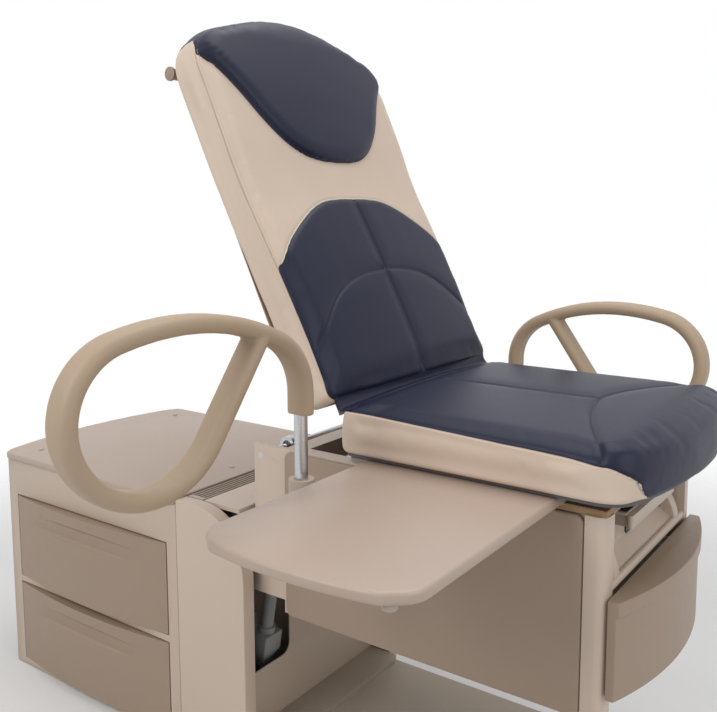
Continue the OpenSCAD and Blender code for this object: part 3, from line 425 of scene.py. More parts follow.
EDGE_RADII_MM = {
    "base_plate": 3, "column_cover_near": 3.5, "column_cover_far": 3.5, "tower_front_cover": 1,
    "tower_top_cover": 0.8, "cabinet_shell": 1.2, "cabinet_worktop": 5, "front_drawer_front": 3,
    "front_drawer_box": 2, "upper_drawer_box": 2, "lower_drawer_box": 2, "carriage_frame": 2,
    "side_panel_near": 4, "side_panel_far": 4, "front_bay": 1.4, "stirrup_cover_near": 5,
    "stirrup_cover_far": 5, "treatment_pan": 1.2, "side_shelf": 6, "shelf_knob": 3,
    "arm_socket_near": 2.5, "arm_socket_far": 2.5, "lift_actuator": 2, "switch_bezel": 0.8,
    "rocker_switch": 0.6, "vent_grille": 0.6, "worktop_plugs": 0.8,
    "top_deck": 1, "lift_pivot_block": 0.8, "tower_frame": 1.2, "back_frame": 1,
    "back_hinge_lugs": 0.8, "seat_risers": 1, "roll_bar": 1.2, "upper_drawer_front": 2,
    "lower_drawer_front": 2, "sector_plates": 0.4,
}


def round_edges(piece, radius_mm, sharper_than=40, segments=3):
    rounding = piece.modifiers.new("edges", "BEVEL")
    rounding.width = radius_mm * MM
    rounding.segments = segments
    rounding.limit_method = "ANGLE"
    rounding.angle_limit = math.radians(sharper_than)


def soften_edges(node, radius_mm):
    """The CAD node with rounded edges, on its own body and in its own finish."""
    piece = merged_copy(node, node + "_finished")
    round_edges(piece, radius_mm, sharper_than=34)
    shading = piece.modifiers.new("shading", "WEIGHTED_NORMAL")
    shading.keep_sharp = True
    apply_modifiers(piece)
    smooth_by_angle(piece, 40)
    place(piece, node_body[node], SLOT_MATERIALS[node_slot[node]], [node])


COVER_WIDEN = 1.13
COVER_EDGE_R = 3


def rear_cover():
    """The moulded cover behind the back, out to the edge of the upholstery."""
    piece = merged_copy("back_shell", "back_shell_finished")
    piece.data.transform(LAY_FLAT)
    piece.data.transform(Matrix.Diagonal((1, COVER_WIDEN, 1, 1)))
    piece.data.transform(TURN_UP)
    round_edges(piece, COVER_EDGE_R)
    apply_modifiers(piece)
    smooth_by_angle(piece, 40)
    place(piece, "back", TAUPE, ["back_shell"])


# New meshes

def mesh_piece(name, points, faces):
    """A new mesh with its faces turned outwards; points are in metres."""
    mesh = bpy.data.meshes.new(name)
    mesh.from_pydata([tuple(p) for p in points], [], faces)
    mesh.update()
    piece = bpy.data.objects.new(name, mesh)
    bpy.context.scene.collection.objects.link(piece)
    pick(piece)
    bpy.ops.object.mode_set(mode="EDIT")
    bpy.ops.mesh.select_all(action="SELECT")
    bpy.ops.mesh.remove_doubles(threshold=0.001 * MM)
    bpy.ops.mesh.normals_make_consistent(inside=False)
    bpy.ops.object.mode_set(mode="OBJECT")
    return piece


def wall_faces(rings, sides):
    """Faces between rings of points that are listed one ring after the other."""
    return [(i * sides + k, i * sides + (k + 1) % sides, (i + 1) * sides + (k + 1) % sides,
             (i + 1) * sides + k) for i in range(rings - 1) for k in range(sides)]


def end_faces(rings, sides):
    return [tuple(range(sides)), tuple((rings - 1) * sides + k for k in range(sides))]


def shade_smooth(piece):
    pick(piece)
    bpy.ops.object.shade_smooth()


def relax(piece, passes):
    smoothing = piece.modifiers.new("relax", "SMOOTH")
    smoothing.factor = 0.5
    smoothing.iterations = passes
    apply_modifiers(piece)


def even_skin(piece, voxel_mm, relax_passes):
    """One even skin over all that the piece holds, with its voxel steps smoothed away."""
    remesh = piece.modifiers.new("even_skin", "REMESH")
    remesh.mode = "VOXEL"
    remesh.voxel_size = voxel_mm * MM
    relax(piece, relax_passes)


# Arms: foam moulded over a tube: a leg on the post, a top bar, a round end and a lower bend that
# runs into a strut. Sizes in mm and degrees, in the plane of the loop from the post's axis. Each
# bend is its radius and the angle that it turns through, from the loop's highest point on.
ARM_T = 30
ARM_W = 53
ARM_SIDES = 28
ARM_BASE_Z = 795
ARM_APEX = (262.1, 205)
LEG_BENDS = ((451.3, 26.1), (113.6, 63.9))
END_BENDS = ((495, 13.4), (111.4, 99.4), (139.1, 122.3))
STRUT_REACH = 198
NEAR_LIFT = 66
NEAR_SWING = 92.9
NEAR_SLEEVE_END = 18
FAR_SLEEVE_END = -15
POST_R = 12
POST_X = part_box("arm_post_near")[0].x / MM + POST_R
POST_Y = 430
FOAM_VOXEL = 2.6
FOAM_RELAX = 14


def bend_path(bends, turn):
    """Points and headings of tangent bends that leave the top of the loop, level."""
    x, z = ARM_APEX
    heading = 0.0
    path = [(x, z, heading)]
    for radius, degrees in bends:
        centre_x = x + turn * radius * math.sin(heading)
        centre_z = z - radius * math.cos(heading)
        steps = max(4, round(degrees / 4))
        for i in range(1, steps + 1):
            angle = heading - math.radians(degrees) * i / steps
            path.append((centre_x - turn * radius * math.sin(angle),
                         centre_z + radius * math.cos(angle), angle))
        x, z, heading = path[-1]
    return path


def swept_tube(name, path, turn):
    """A flat oval carried along a path in the plane of the loop, closed at both ends."""
    section = []
    for k in range(ARM_SIDES):
        angle = 2 * math.pi * k / ARM_SIDES
        side = 1 if math.sin(angle) >= 0 else -1
        section.append((math.cos(angle) * ARM_T / 2,
                        math.sin(angle) * ARM_T / 2 + side * (ARM_W - ARM_T) / 2))
    points = []
    for x, z, heading in path:
        out_x, out_z = -turn * math.sin(heading), math.cos(heading)
        points += [((x + s * out_x) * MM, y * MM, (z + s * out_z) * MM) for s, y in section]
    rings = len(path)
    return mesh_piece(name, points, wall_faces(rings, ARM_SIDES) + end_faces(rings, ARM_SIDES))


def foam_arm(node, name, swing, base_z, post_y, sleeve_end):
    """One arm: its leg reaches down the post to sleeve_end, its strut runs back into the loop."""
    leg = bend_path(LEG_BENDS, -1)
    x, z, heading = leg[-1]
    leg += [(x, z * (1 - t) + sleeve_end * t, heading) for t in (0.3, 0.6, 1)]
    loop = bend_path(END_BENDS, 1)
    x, z, heading = loop[-1]
    loop += [(x + STRUT_REACH * t * math.cos(heading), z + STRUT_REACH * t * math.sin(heading),
              heading) for t in (0.25, 0.5, 0.75, 1)]
    piece = swept_tube(name, leg, -1)
    rest = swept_tube(name + "_loop", loop, 1)
    deselect()
    rest.select_set(True)
    piece.select_set(True)
    bpy.context.view_layer.objects.active = piece
    bpy.ops.object.join()
    even_skin(piece, FOAM_VOXEL, FOAM_RELAX)
    piece.data.transform(Matrix.Translation(Vector((POST_X, post_y, base_z)) * MM)
                         @ Matrix.Rotation(math.radians(-swing), 4, "Z"))
    shade_smooth(piece)
    place(piece, node_body[node], ARM_FOAM, [node])


# Upholstery: tools for padded pieces, which measure in mm

PAD_VOXEL = 6.5
PAD_RELAX = 3
SIDE_SWELL = 5
FOOT_Y = 294
# Depth and half width of the crease along a side seam
CREASE = 1.8
CREASE_W = 2.4
# Stands for a point that is near no seam
NO_SEAM = 99


def distance_to_seam(points, seam):
    """Least distance of each point to a seam's polyline, in the seam's own units."""
    best = np.full(len(points), 1e9)
    for start, end in zip(seam[:-1], seam[1:]):
        along = end - start
        share = np.clip(((points - start) @ along) / max(along @ along, 1e-9), 0, 1)
        gap = np.linalg.norm(points - start - share[:, None] * along, axis=1)
        np.minimum(best, gap, out=best)
    return best


def read_points(piece):
    flat = np.empty(len(piece.data.vertices) * 3)
    piece.data.vertices.foreach_get("co", flat)
    return flat.reshape(-1, 3)


def read_normals(piece):
    flat = np.empty(len(piece.data.vertices) * 3)
    piece.data.vertices.foreach_get("normal", flat)
    return flat.reshape(-1, 3)


def write_points(piece, points):
    piece.data.vertices.foreach_set("co", points.astype(np.float32).ravel())
    piece.data.update()


def store(piece, name, values):
    attribute = piece.data.attributes.get(name) or piece.data.attributes.new(name, "FLOAT", "POINT")
    attribute.data.foreach_set("value", values.astype(np.float32))


def rolled(depth, radius):
    """Height share of a panel that rolls down to its edge: 0 at the edge, 1 past the radius."""
    near = np.clip(depth / radius, 0, 1)
    return np.sqrt(np.clip(1 - (1 - near) ** 2, 0, 1))


def eased(value, low, high):
    """0 below low, 1 above high, and smooth between."""
    t = np.clip((value - low) / (high - low), 0, 1)
    return t * t * (3 - 2 * t)


def dip(gap, width):
    """1 on a line, and gone about two widths away from it."""
    return np.exp(-(gap / width) ** 2)


def smooth_between(pairs, value):
    """A smooth curve through given pairs, read at each value."""
    x = np.array([p[0] for p in pairs], float)
    y = np.array([p[1] for p in pairs], float)
    slope = np.gradient(y, x)
    value = np.clip(value, x[0], x[-1])
    i = np.clip(np.searchsorted(x, value, side="right") - 1, 0, len(x) - 2)
    step = x[i + 1] - x[i]
    t = (value - x[i]) / step
    return ((2 * t ** 3 - 3 * t ** 2 + 1) * y[i] + (t ** 3 - 2 * t ** 2 + t) * step * slope[i]
            + (3 * t ** 2 - 2 * t ** 3) * y[i + 1] + (t ** 3 - t ** 2) * step * slope[i + 1])


def subdivide(piece):
    finer = piece.modifiers.new("finer", "SUBSURF")
    finer.levels = 1
    finer.render_levels = 1
    apply_modifiers(piece)


def pad_outline(start, end, half_at, foot_r, corner_r, arch_r, corner_steps, arch_steps):
    """The ring of a pad from start, where it is square at the hinge, to end, where a wide arch
    lies between two corner bends. half_at gives half its width."""
    arch_x = end - arch_r
    corner_y = half_at(end) - corner_r
    corner_x = arch_x + math.sqrt((arch_r - corner_r) ** 2 - corner_y ** 2)
    turn = math.atan2(corner_y, corner_x - arch_x)
    half_ring = [(start, y) for y in np.arange(0, FOOT_Y, 12)]
    half_ring += [(start + foot_r - foot_r * math.cos(a), FOOT_Y + foot_r * math.sin(a))
                  for a in np.linspace(0.2, 1.4, 5)]
    half_ring += [(x, float(half_at(x))) for x in np.arange(start + 12, corner_x, 9)]
    half_ring += [(corner_x + corner_r * math.cos(a), corner_y + corner_r * math.sin(a))
                  for a in np.linspace(math.pi / 2, turn, corner_steps)]
    half_ring += [(arch_x + arch_r * math.cos(a), arch_r * math.sin(a))
                  for a in np.linspace(turn, 0, arch_steps)[1:]]
    return half_ring + [(x, -y) for x, y in reversed(half_ring) if y > 0]


# Shares of the way out from the pad's middle, and shares of the way down its side with what the
# side draws in there
TOP_RINGS = (0.15, 0.35, 0.55, 0.72, 0.84, 0.91, 0.95, 0.975, 0.99, 0.997, 1.0)
SIDE_RINGS = ((0.12, 0), (0.3, 0), (0.5, 0), (0.7, 0), (0.9, 0), (0.97, 2), (1.0, 5))


def pad_blank(name, outline, middle_x, top, edge_r, low):
    """A closed pad: outline is its ring of points, top gives the height of its upper face, which
    rolls down by edge_r, and low is its flat underside. Its sides swell a little."""
    ring = np.array(outline, float)
    middle = np.array([middle_x, 0.0])
    n = len(ring)
    closed = np.vstack([ring, ring[:1]])
    along = np.roll(ring, -1, axis=0) - np.roll(ring, 1, axis=0)
    out = np.column_stack([along[:, 1], -along[:, 0]]) / np.linalg.norm(along, axis=1)[:, None]
    if np.mean(np.sum(out * (ring - middle), axis=1)) < 0:
        out = -out
    rings = []
    for share in TOP_RINGS:
        flat = middle + share * (ring - middle)
        radius = edge_r(flat[:, 0])
        drop = radius * (1 - rolled(distance_to_seam(flat, closed), radius))
        rings.append(np.column_stack([flat, top(flat[:, 0], flat[:, 1]) - drop]))
    shoulder = rings[-1][:, 2]
    # The end at the hinge stays flat, clear of the lugs there
    swells = (out[:, 0] > -0.5)[:, None]
    for share, inset in SIDE_RINGS:
        swell = SIDE_SWELL * math.sin(math.pi * min(share, 0.98)) * swells - inset
        rings.append(np.column_stack([ring + out * swell, shoulder + (low - shoulder) * share]))
    crown = float(top(middle[:1], middle[1:])[0])
    points = np.vstack(rings + [[[middle_x, 0, crown], [middle_x, 0, low]]])
    last = (len(rings) - 1) * n
    faces = wall_faces(len(rings), n)
    faces += [(k, (k + 1) % n, len(rings) * n) for k in range(n)]
    faces += [(last + (k + 1) % n, last + k, len(rings) * n + 1) for k in range(n)]
    return mesh_piece(name, points * MM, faces)


CLOTH_STEPS = 14
AIR_PRESSURE = 4
STRETCH_STIFFNESS = 12
BEND_STIFFNESS = 0.6


def puff(piece, cap_mm, hold):
    """Air pressure swells the pad's skin; each point moves by at most cap_mm times its share of
    hold."""
    before = read_points(piece)
    cloth = piece.modifiers.new("air", "CLOTH")
    cloth.settings.quality = 3
    cloth.settings.use_pressure = True
    cloth.settings.uniform_pressure_force = AIR_PRESSURE
    cloth.settings.effector_weights.gravity = 0
    cloth.settings.tension_stiffness = STRETCH_STIFFNESS
    cloth.settings.compression_stiffness = STRETCH_STIFFNESS
    cloth.settings.bending_stiffness = BEND_STIFFNESS
    for step in range(1, CLOTH_STEPS + 1):
        bpy.context.scene.frame_set(step)
    apply_modifiers(piece)
    moved = read_points(piece) - before
    length = np.maximum(np.linalg.norm(moved, axis=1), 1e-9)
    reach = np.minimum(length, cap_mm * MM) / length * hold
    write_points(piece, before + moved * reach[:, None])
    bpy.context.scene.frame_set(1)
    relax(piece, 4)


def skin_tree(piece):
    return BVHTree.FromPolygons([v.co.copy() for v in piece.data.vertices],
                                [tuple(p.vertices) for p in piece.data.polygons])


CORD_SIDES = 8


def cord_on_skin(name, points, normals, radius_mm):
    """A thin round cord along points that lie on a skin."""
    n = len(points)
    rings = []
    for i in range(n):
        along = (points[min(i + 1, n - 1)] - points[max(i - 1, 0)]).normalized()
        across = along.cross(normals[i]).normalized()
        up = across.cross(along)
        rings += [points[i] + (across * math.cos(2 * math.pi * k / CORD_SIDES)
                               + up * math.sin(2 * math.pi * k / CORD_SIDES)) * radius_mm * MM
                  for k in range(CORD_SIDES)]
    piece = mesh_piece(name, rings, wall_faces(n, CORD_SIDES) + end_faces(n, CORD_SIDES))
    shade_smooth(piece)
    return piece


# Thread stitches in mm; the form gives places along a stitch, as shares of its length, with the
# share of the thread's radius there
STITCH_PITCH = 6.2
STITCH_LENGTH = 4.4
THREAD_R = 0.5
THREAD_PROUD = 0.15
STITCH_SIDES = 5
STITCH_FORM = ((-0.5, 0.45), (-0.3, 1), (0.3, 1), (0.5, 0.45))


def one_stitch(centre, along, normal):
    across = along.cross(normal).normalized()
    turns = [2 * math.pi * k / STITCH_SIDES for k in range(STITCH_SIDES)]
    return [centre + along * reach * STITCH_LENGTH * MM
            + (across * math.cos(a) + normal * math.sin(a)) * THREAD_R * size * MM
            for reach, size in STITCH_FORM for a in turns]


def stitches(name, rows):
    """Rows of thread stitches: each row is a list of (point, normal) close together."""
    rings = len(STITCH_FORM)
    form_faces = wall_faces(rings, STITCH_SIDES) + end_faces(rings, STITCH_SIDES)
    points, faces = [], []
    for row in rows:
        travelled, due = 0.0, 0.0
        for (start, normal), (end, _) in zip(row[:-1], row[1:]):
            step = (end - start).length
            along = (end - start).normalized()
            while due <= travelled + step:
                centre = start + along * (due - travelled) + normal * THREAD_PROUD * MM
                faces += [tuple(len(points) + k for k in face) for face in form_faces]
                points += one_stitch(centre, along, normal)
                due += STITCH_PITCH * MM
            travelled += step
    piece = mesh_piece(name, points, faces)
    shade_smooth(piece)
    return piece


# The back, in mm: u up the back from the hinge, y across, w out of the flat face. The pairs are
# (y, u) for the seams on its face, and (u, w) for its profile.
HINGE_X = back_hinge.x / MM
HINGE_Z = back_hinge.z / MM
BACK_START = 13
BACK_END = 897
BACK_MIDDLE = 450
BACK_LOW = -71
BACK_HALF = 312
HEAD_WIDER = 17
BACK_CROWN = 12
BACK_CROWN_W = 13
BACK_FOOT_R = 12
HEAD_ARCH_R = 600
HEAD_CORNER_R = 120
BACK_CAP = 8
PILLOW_EDGE = ((0, 532), (55, 535), (100, 545), (140, 566), (175, 596), (205, 632), (235, 676),
               (262, 712), (285, 738), (305, 758), (322, 774))
ARCH_EDGE = ((0, 437), (60, 436), (110, 430), (155, 414), (195, 392), (235, 366), (262, 346),
             (284, 324), (300, 304), (322, 288))
CURVE_EDGE = ((0, 261), (60, 258), (110, 250), (150, 238), (190, 218), (230, 188), (262, 158),
              (290, 128), (322, 96))
FACE_PROFILE = ((0, 6), (120, 7), (260, 3), (380, -4), (440, -9), (510, -10), (600, -4), (700, 0),
                (900, 0))
PILLOW_RISE = 13
PILLOW_ROLL = 32
PANEL_RISE = 5
PANEL_ROLL = 18
# The headband's edge leaves the side seam here and climbs this much for each mm down the side
HEADBAND_START = 783
HEADBAND_CLIMB = 2.5


def back_half_at(u):
    return BACK_HALF + HEAD_WIDER * eased(u, 100, 560)


def back_face(u, y):
    return BACK_CROWN_W - BACK_CROWN * (y / back_half_at(u)) ** 2 + smooth_between(FACE_PROFILE, u)


def back_shoulder_r(u):
    return 16 + 18 * eased(u, 800, 880) - 4 * (1 - eased(u, 30, 60))


def side_seam_w(u):
    return -5 + 0.7 * smooth_between(FACE_PROFILE, u)


def on_back(u, y, w):
    return TURN_UP @ Vector(((HINGE_X - u) * MM, y * MM, (HINGE_Z + w) * MM))


def edge_line(pairs):
    across = np.linspace(-320, 320, 129)
    return np.array([(float(smooth_between(pairs, abs(y))), y) for y in across])


def back_blank():
    """The back's pad, blown up but not yet sewn. The board holds its lower rim, the hinge its foot,
    and the side seams hold its edges."""
    outline = pad_outline(BACK_START, BACK_END, back_half_at, BACK_FOOT_R, HEAD_CORNER_R,
                          HEAD_ARCH_R, 22, 20)
    piece = pad_blank("back_upholstery", outline, BACK_MIDDLE, back_face, back_shoulder_r, BACK_LOW)
    even_skin(piece, PAD_VOXEL, PAD_RELAX)
    u, y, w = (read_points(piece) / MM).T
    hold = eased(w, BACK_LOW + 2, BACK_LOW + 22)
    hold *= 1 - 0.85 * dip(w - side_seam_w(u), 12) * (np.abs(y) > back_half_at(u) - 30)
    hold *= eased(u, BACK_START, BACK_START + 60)
    hold *= 1 - 0.7 * eased(u, 820, 880)
    puff(piece, BACK_CAP, hold)
    subdivide(piece)
    return piece


def back_upholstery():
    """The back's pad: a proud pillow, a beige middle, and a lumbar panel with sewn lines."""
    piece = back_blank()
    points, normals = read_points(piece) / MM, read_normals(piece)
    u, y, w = points.T
    flat = points[:, :2].copy()
    across = np.clip(np.abs(y), 0, 320)
    pillow_gap = distance_to_seam(flat, edge_line(PILLOW_EDGE))
    arch_gap = distance_to_seam(flat, edge_line(ARCH_EDGE))
    spine = np.array([(BACK_START, 0.0), (ARCH_EDGE[0][1], 0.0)])
    lines = np.minimum(distance_to_seam(flat, edge_line(CURVE_EDGE)), distance_to_seam(flat, spine))
    edges = np.minimum(pillow_gap, arch_gap)
    pillow = np.where(u > smooth_between(PILLOW_EDGE, across), pillow_gap, -pillow_gap)
    panel = np.where(u < smooth_between(ARCH_EDGE, across), arch_gap, -arch_gap)
    side = w - side_seam_w(u)
    side_gap = np.abs(side)
    on_edge = eased(np.abs(y), back_half_at(u) - 40, back_half_at(u) - 24)
    on_edge = np.maximum(on_edge, eased(u, BACK_END - 60, BACK_END - 30))

    lift = PILLOW_RISE * rolled(np.maximum(pillow, 0), PILLOW_ROLL)
    lift += PANEL_RISE * rolled(np.maximum(panel, 0), PANEL_ROLL)
    valley = 4 * dip(np.maximum(-pillow, 0), 16) * (pillow < 0)
    in_panel = eased(panel, 0, 3)
    grooves = in_panel * (3.2 * dip(lines, 4.5) + 2.2 * dip(lines, 20)) + 2.4 * dip(edges, 3.5)
    welt = in_panel * 1.6 * dip(y + 6, 3.2)
    puckered = eased(np.abs(y), 235.32, 286.2) * dip(pillow - 13, 12)
    folds = 0.8 * puckered * np.sin(np.hypot(u - 790, np.abs(y) - 300) / 16 * 2 * math.pi)
    points[:, 2] += eased(side, -2, 14) * (lift - valley - grooves + welt + folds)
    sewn = dip(side_gap, CREASE_W) * on_edge
    sewn *= eased(u, BACK_START + 8, BACK_START + 30) * (1 - eased(u, 800, 830))
    points -= normals * (CREASE * sewn)[:, None]
    write_points(piece, points * MM)

    # Navy on the pillow and the lumbar panel, and round the head end of the side band
    u, y, w = points.T
    headband = (u - HEADBAND_START - HEADBAND_CLIMB * (side_seam_w(u) - w)) / 2.7
    on_face = np.clip(np.maximum(pillow, panel) + 2.6 * (pillow > -12), -8, 8)
    face_share = np.where(on_edge > 0.5, eased(side, -2.5, 2.5), 1)
    store(piece, "navy", face_share * on_face + (1 - face_share) * np.clip(headband, -8, 8))
    # Distance to the seams, near which the vinyl's colour is darkened as painted shade
    seam = np.minimum(edges, np.where(panel > 0, lines, NO_SEAM))
    seam = np.where(side > 2, seam, NO_SEAM)
    side_sewn = (on_edge > 0.5) & (u < 812)
    store(piece, "seam", np.minimum(seam, np.where(side_sewn, side_gap, NO_SEAM)))

    piece.data.transform(Matrix(((-1, 0, 0, HINGE_X * MM), (0, 1, 0, 0), (0, 0, 1, HINGE_Z * MM),
                                 (0, 0, 0, 1))))
    piece.data.flip_normals()
    piece.data.transform(TURN_UP)
    shade_smooth(piece)
    place(piece, "back", VINYL, ["back_cushion"])
    return piece


PIPING_R = 1.7
# Stitch rows run this far below and above the side seam, and the upper one starts past the panel
STITCH_ROWS = (-4.5, 3.5)
PANEL_TOP_U = 296
OUTSIDE_Y = 380


def stitch_row(tree, side, spots):
    """Where rays from outside the pad, straight across it, meet its skin."""
    row = []
    for spot in spots:
        hit, normal, _, _ = tree.ray_cast(spot, Vector((0, -side, 0)))
        if hit is not None:
            row.append((hit, normal))
    return row


def back_trim(skin):
    """Piping round the lumbar panel and the stitches beside the side seams."""
    tree = skin_tree(skin)
    out = (TURN_UP.to_3x3() @ Vector((0, 0, 1))).normalized()
    points, normals = [], []
    for u, y in edge_line(ARCH_EDGE):
        if abs(y) <= back_half_at(u) - 9:
            spot, normal, _, _ = tree.ray_cast(on_back(u, y, 60), -out)
            points.append(spot + normal * 0.5 * MM)
            normals.append(normal)
    piping = cord_on_skin("lumbar_piping", points, normals, PIPING_R)
    place(piping, "back", PIPING)
    rows = []
    for side in (-1, 1):
        for gap in STITCH_ROWS:
            heights = [u for u in np.arange(BACK_START + 30, 782, 4) if gap < 0 or u >= PANEL_TOP_U]
            spots = [on_back(u, side * OUTSIDE_Y, side_seam_w(u) + gap) for u in heights]
            rows.append(stitch_row(tree, side, spots))
    thread = stitches("back_stitching", rows)
    place(thread, "back", THREAD)


# The seat, in mm in the model's own frame. The side seam's pairs are (x, z).
SEAT_X0 = seat_low.x / MM
SEAT_X1 = seat_high.x / MM
SEAT_TOP = seat_high.z / MM
SEAT_MIDDLE = (SEAT_X0 + SEAT_X1) / 2
SEAT_HALF = 304
SEAT_LOW = 776
SEAT_CROWN = 11
SEAT_FOOT_R = 10
SEAT_ARCH_R = 900
SEAT_CORNER_R = 64
SEAT_CAP = 7
NOSE = 90
NOSE_LOW = 812
# The middle seam forks here, and its branches reach the sides further on
FORK_X = 707
FORK_SIDE_X = 826
SIDE_SEAM = ((312, 859), (470, 854), (640, 848), (775, 843), (811, 840), (840, 836), (856, 828),
             (866, 821), (872, 812), (875, 800), (876, 786))
TIP_LIFT = 12


def seat_half_at(x):
    return SEAT_HALF


def seat_outline():
    return pad_outline(SEAT_X0, SEAT_X1, seat_half_at, SEAT_FOOT_R, SEAT_CORNER_R, SEAT_ARCH_R,
                       16, 24)


def seat_face(x, y):
    crown = SEAT_TOP - SEAT_CROWN * (y / SEAT_HALF) ** 2
    nose = np.clip((x - SEAT_X1 + NOSE) / NOSE, 0, 1)
    share = np.sqrt(np.clip(1 - nose ** 2, 0, 1))
    return NOSE_LOW + (crown - NOSE_LOW) * (0.15 + 0.85 * share)


def seat_shoulder_r(x):
    return 13 + 9 * eased(x, 330, 380) - 10 * eased(x, 800, 880)


def fork_x(share):
    """How far forward the branches lie, at a share of the way out to the side."""
    return FORK_X + (FORK_SIDE_X - FORK_X) * share ** 1.6


def fork_line(side):
    return np.array([(fork_x(c), side * SEAT_HALF * c) for c in np.linspace(0, 1, 60)])


def seat_blank():
    """The seat's pad, blown up but not yet sewn, held as the back's is."""
    piece = pad_blank("seat_upholstery", seat_outline(), SEAT_MIDDLE, seat_face, seat_shoulder_r,
                      SEAT_LOW)
    even_skin(piece, PAD_VOXEL, PAD_RELAX)
    x, y, z = (read_points(piece) / MM).T
    hold = eased(z, SEAT_LOW + 2, SEAT_LOW + 20)
    hold *= 1 - 0.85 * dip(z - smooth_between(SIDE_SEAM, x), 12) * (np.abs(y) > SEAT_HALF - 30)
    hold *= eased(x, SEAT_X0, SEAT_X0 + 50) * (1 - 0.75 * eased(x, 830, 890))
    puff(piece, SEAT_CAP, hold)
    subdivide(piece)
    return piece


def seat_upholstery():
    """The seat's pad: navy over the nose, a seam that forks, and a beige band on each side."""
    piece = seat_blank()
    points, normals = read_points(piece) / MM, read_normals(piece)
    x, y, z = points.T
    flat = points[:, :2].copy()
    branches = np.minimum(distance_to_seam(flat, fork_line(-1)),
                          distance_to_seam(flat, fork_line(1)))
    spine = distance_to_seam(flat, np.array([(SEAT_X0, 0.0), (FORK_X, 0.0)]))
    lines = np.minimum(branches, spine)
    tip_x = SIDE_SEAM[-1][0]
    side_line = np.array([(a, float(smooth_between(SIDE_SEAM, a)))
                          for a in np.linspace(SIDE_SEAM[0][0], tip_x, 90)])
    band_gap = distance_to_seam(points[:, [0, 2]], side_line)
    in_band = (z < smooth_between(SIDE_SEAM, x)) & (x < tip_x)
    band = np.where(in_band, -band_gap, band_gap)
    on_edge = eased(np.abs(y), 205, 228)

    face = eased(z, 826, 850) * eased(normals[:, 2], 0.1, 0.5)
    grooves = 3.4 * dip(lines, 4.5) + 3.2 * dip(lines, 24)
    grooves *= eased(x, SEAT_X0 + 18, SEAT_X0 + 60)
    front = x > fork_x(np.clip(np.abs(y) / SEAT_HALF, 0, 1))
    swell = 2.5 * rolled(np.where(front, branches, 0), 30)
    points[:, 2] += face * (swell - grooves)
    rim = 1 - eased(points[:, 2], SEAT_LOW, SEAT_LOW + 40)
    points[:, 2] += TIP_LIFT * eased(x, 850, 892) * eased(np.abs(y), 225, 285) * rim
    sewn = dip(band, CREASE_W) * on_edge * (np.abs(y) > 230)
    points -= normals * (CREASE * sewn)[:, None]
    write_points(piece, points * MM)

    store(piece, "navy", np.where(on_edge > 0.4, band, 20))
    # Distance to the seams, near which the vinyl's colour is darkened as painted shade
    seam = np.where(face > 0.3, lines, NO_SEAM)
    store(piece, "seam", np.minimum(seam, np.where(on_edge > 0.4, np.abs(band), NO_SEAM)))
    shade_smooth(piece)
    place(piece, "carriage", VINYL, ["seat_cushion"])
    return piece


BOARD_LOW = 771
BOARD_HIGH = 785
BOARD_INSET = 11
BOARD_EDGE_R = 1.2


def board_under_seat():
    """The real board that the seat is stretched over, inside its outline, in a dark grey that paints the shadow
    line under the seat's rim.
    """
    outline = np.array(seat_outline())
    reach = outline - np.array([SEAT_MIDDLE, 0])
    ring = outline - reach * (BOARD_INSET / np.linalg.norm(reach, axis=1))[:, None]
    points = [(x * MM, y * MM, z * MM) for z in (BOARD_LOW, BOARD_HIGH) for x, y in ring]
    n = len(ring)
    piece = mesh_piece("seat_board_finished", points, wall_faces(2, n) + end_faces(2, n))
    round_edges(piece, BOARD_EDGE_R, sharper_than=50, segments=2)
    apply_modifiers(piece)
    smooth_by_angle(piece, 40)
    place(piece, "carriage", BOARD_PAINTED_SHADE, ["seat_board"])


def seat_trim(skin):
    """The stitches under the seat's side seams."""
    tree = skin_tree(skin)
    rows = []
    for side in (-1, 1):
        spots = []
        for x in np.arange(SEAT_X0 + 16, 868, 4):
            z = float(smooth_between(SIDE_SEAM, x)) + STITCH_ROWS[0]
            spots.append(Vector((x, side * OUTSIDE_Y, z)) * MM)
        rows.append(stitch_row(tree, side, spots))
    thread = stitches("seat_stitching", rows)
    place(thread, "carriage", THREAD)


# The strip over the hinge: (x, height from the seat's top) on the seat, then (u, height from the
# back's face) on the back
GUSSET_ON_SEAT = ((334, -1.6), (325, -1.2), (316, -3.2), (308, -7.5))
GUSSET_ON_BACK = ((12, -7.5), (22, -1.8), (32, -0.8), (42, -1.4))
GUSSET_HALF = 296
GUSSET_T = 5
FOOT_FACE_W = BACK_CROWN_W + FACE_PROFILE[0][1]


def hinge_gusset():
    """The soft strip that joins seat and back across the hinge."""
    points = []
    shares = np.linspace(-1, 1, 49)
    for c in shares:
        y = GUSSET_HALF * c
        points += [Vector((x, y, SEAT_TOP + height - SEAT_CROWN * c ** 2)) * MM
                   for x, height in GUSSET_ON_SEAT]
        points += [on_back(u, y, FOOT_FACE_W - BACK_CROWN * c ** 2 + height)
                   for u, height in GUSSET_ON_BACK]
    count = len(GUSSET_ON_SEAT) + len(GUSSET_ON_BACK)
    faces = [(i * count + k, (i + 1) * count + k, (i + 1) * count + k + 1, i * count + k + 1)
             for i in range(len(shares) - 1) for k in range(count - 1)]
    piece = mesh_piece("hinge_gusset", points, faces)
    finer = piece.modifiers.new("finer", "SUBSURF")
    finer.levels = 2
    finer.render_levels = 2
    thick = piece.modifiers.new("thick", "SOLIDIFY")
    thick.thickness = GUSSET_T * MM
    thick.offset = 0
    apply_modifiers(piece)
    store(piece, "navy", np.full(len(piece.data.vertices), 20.0))
    store(piece, "seam", np.full(len(piece.data.vertices), float(NO_SEAM)))
    shade_smooth(piece)
    piece.data.materials.append(VINYL)
    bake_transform(piece)


# Studio

# In metres: the floor fades to the white around it between two distances from its middle
FLOOR_R = 3.2
FLOOR_FADE = (1.3, 3.0)


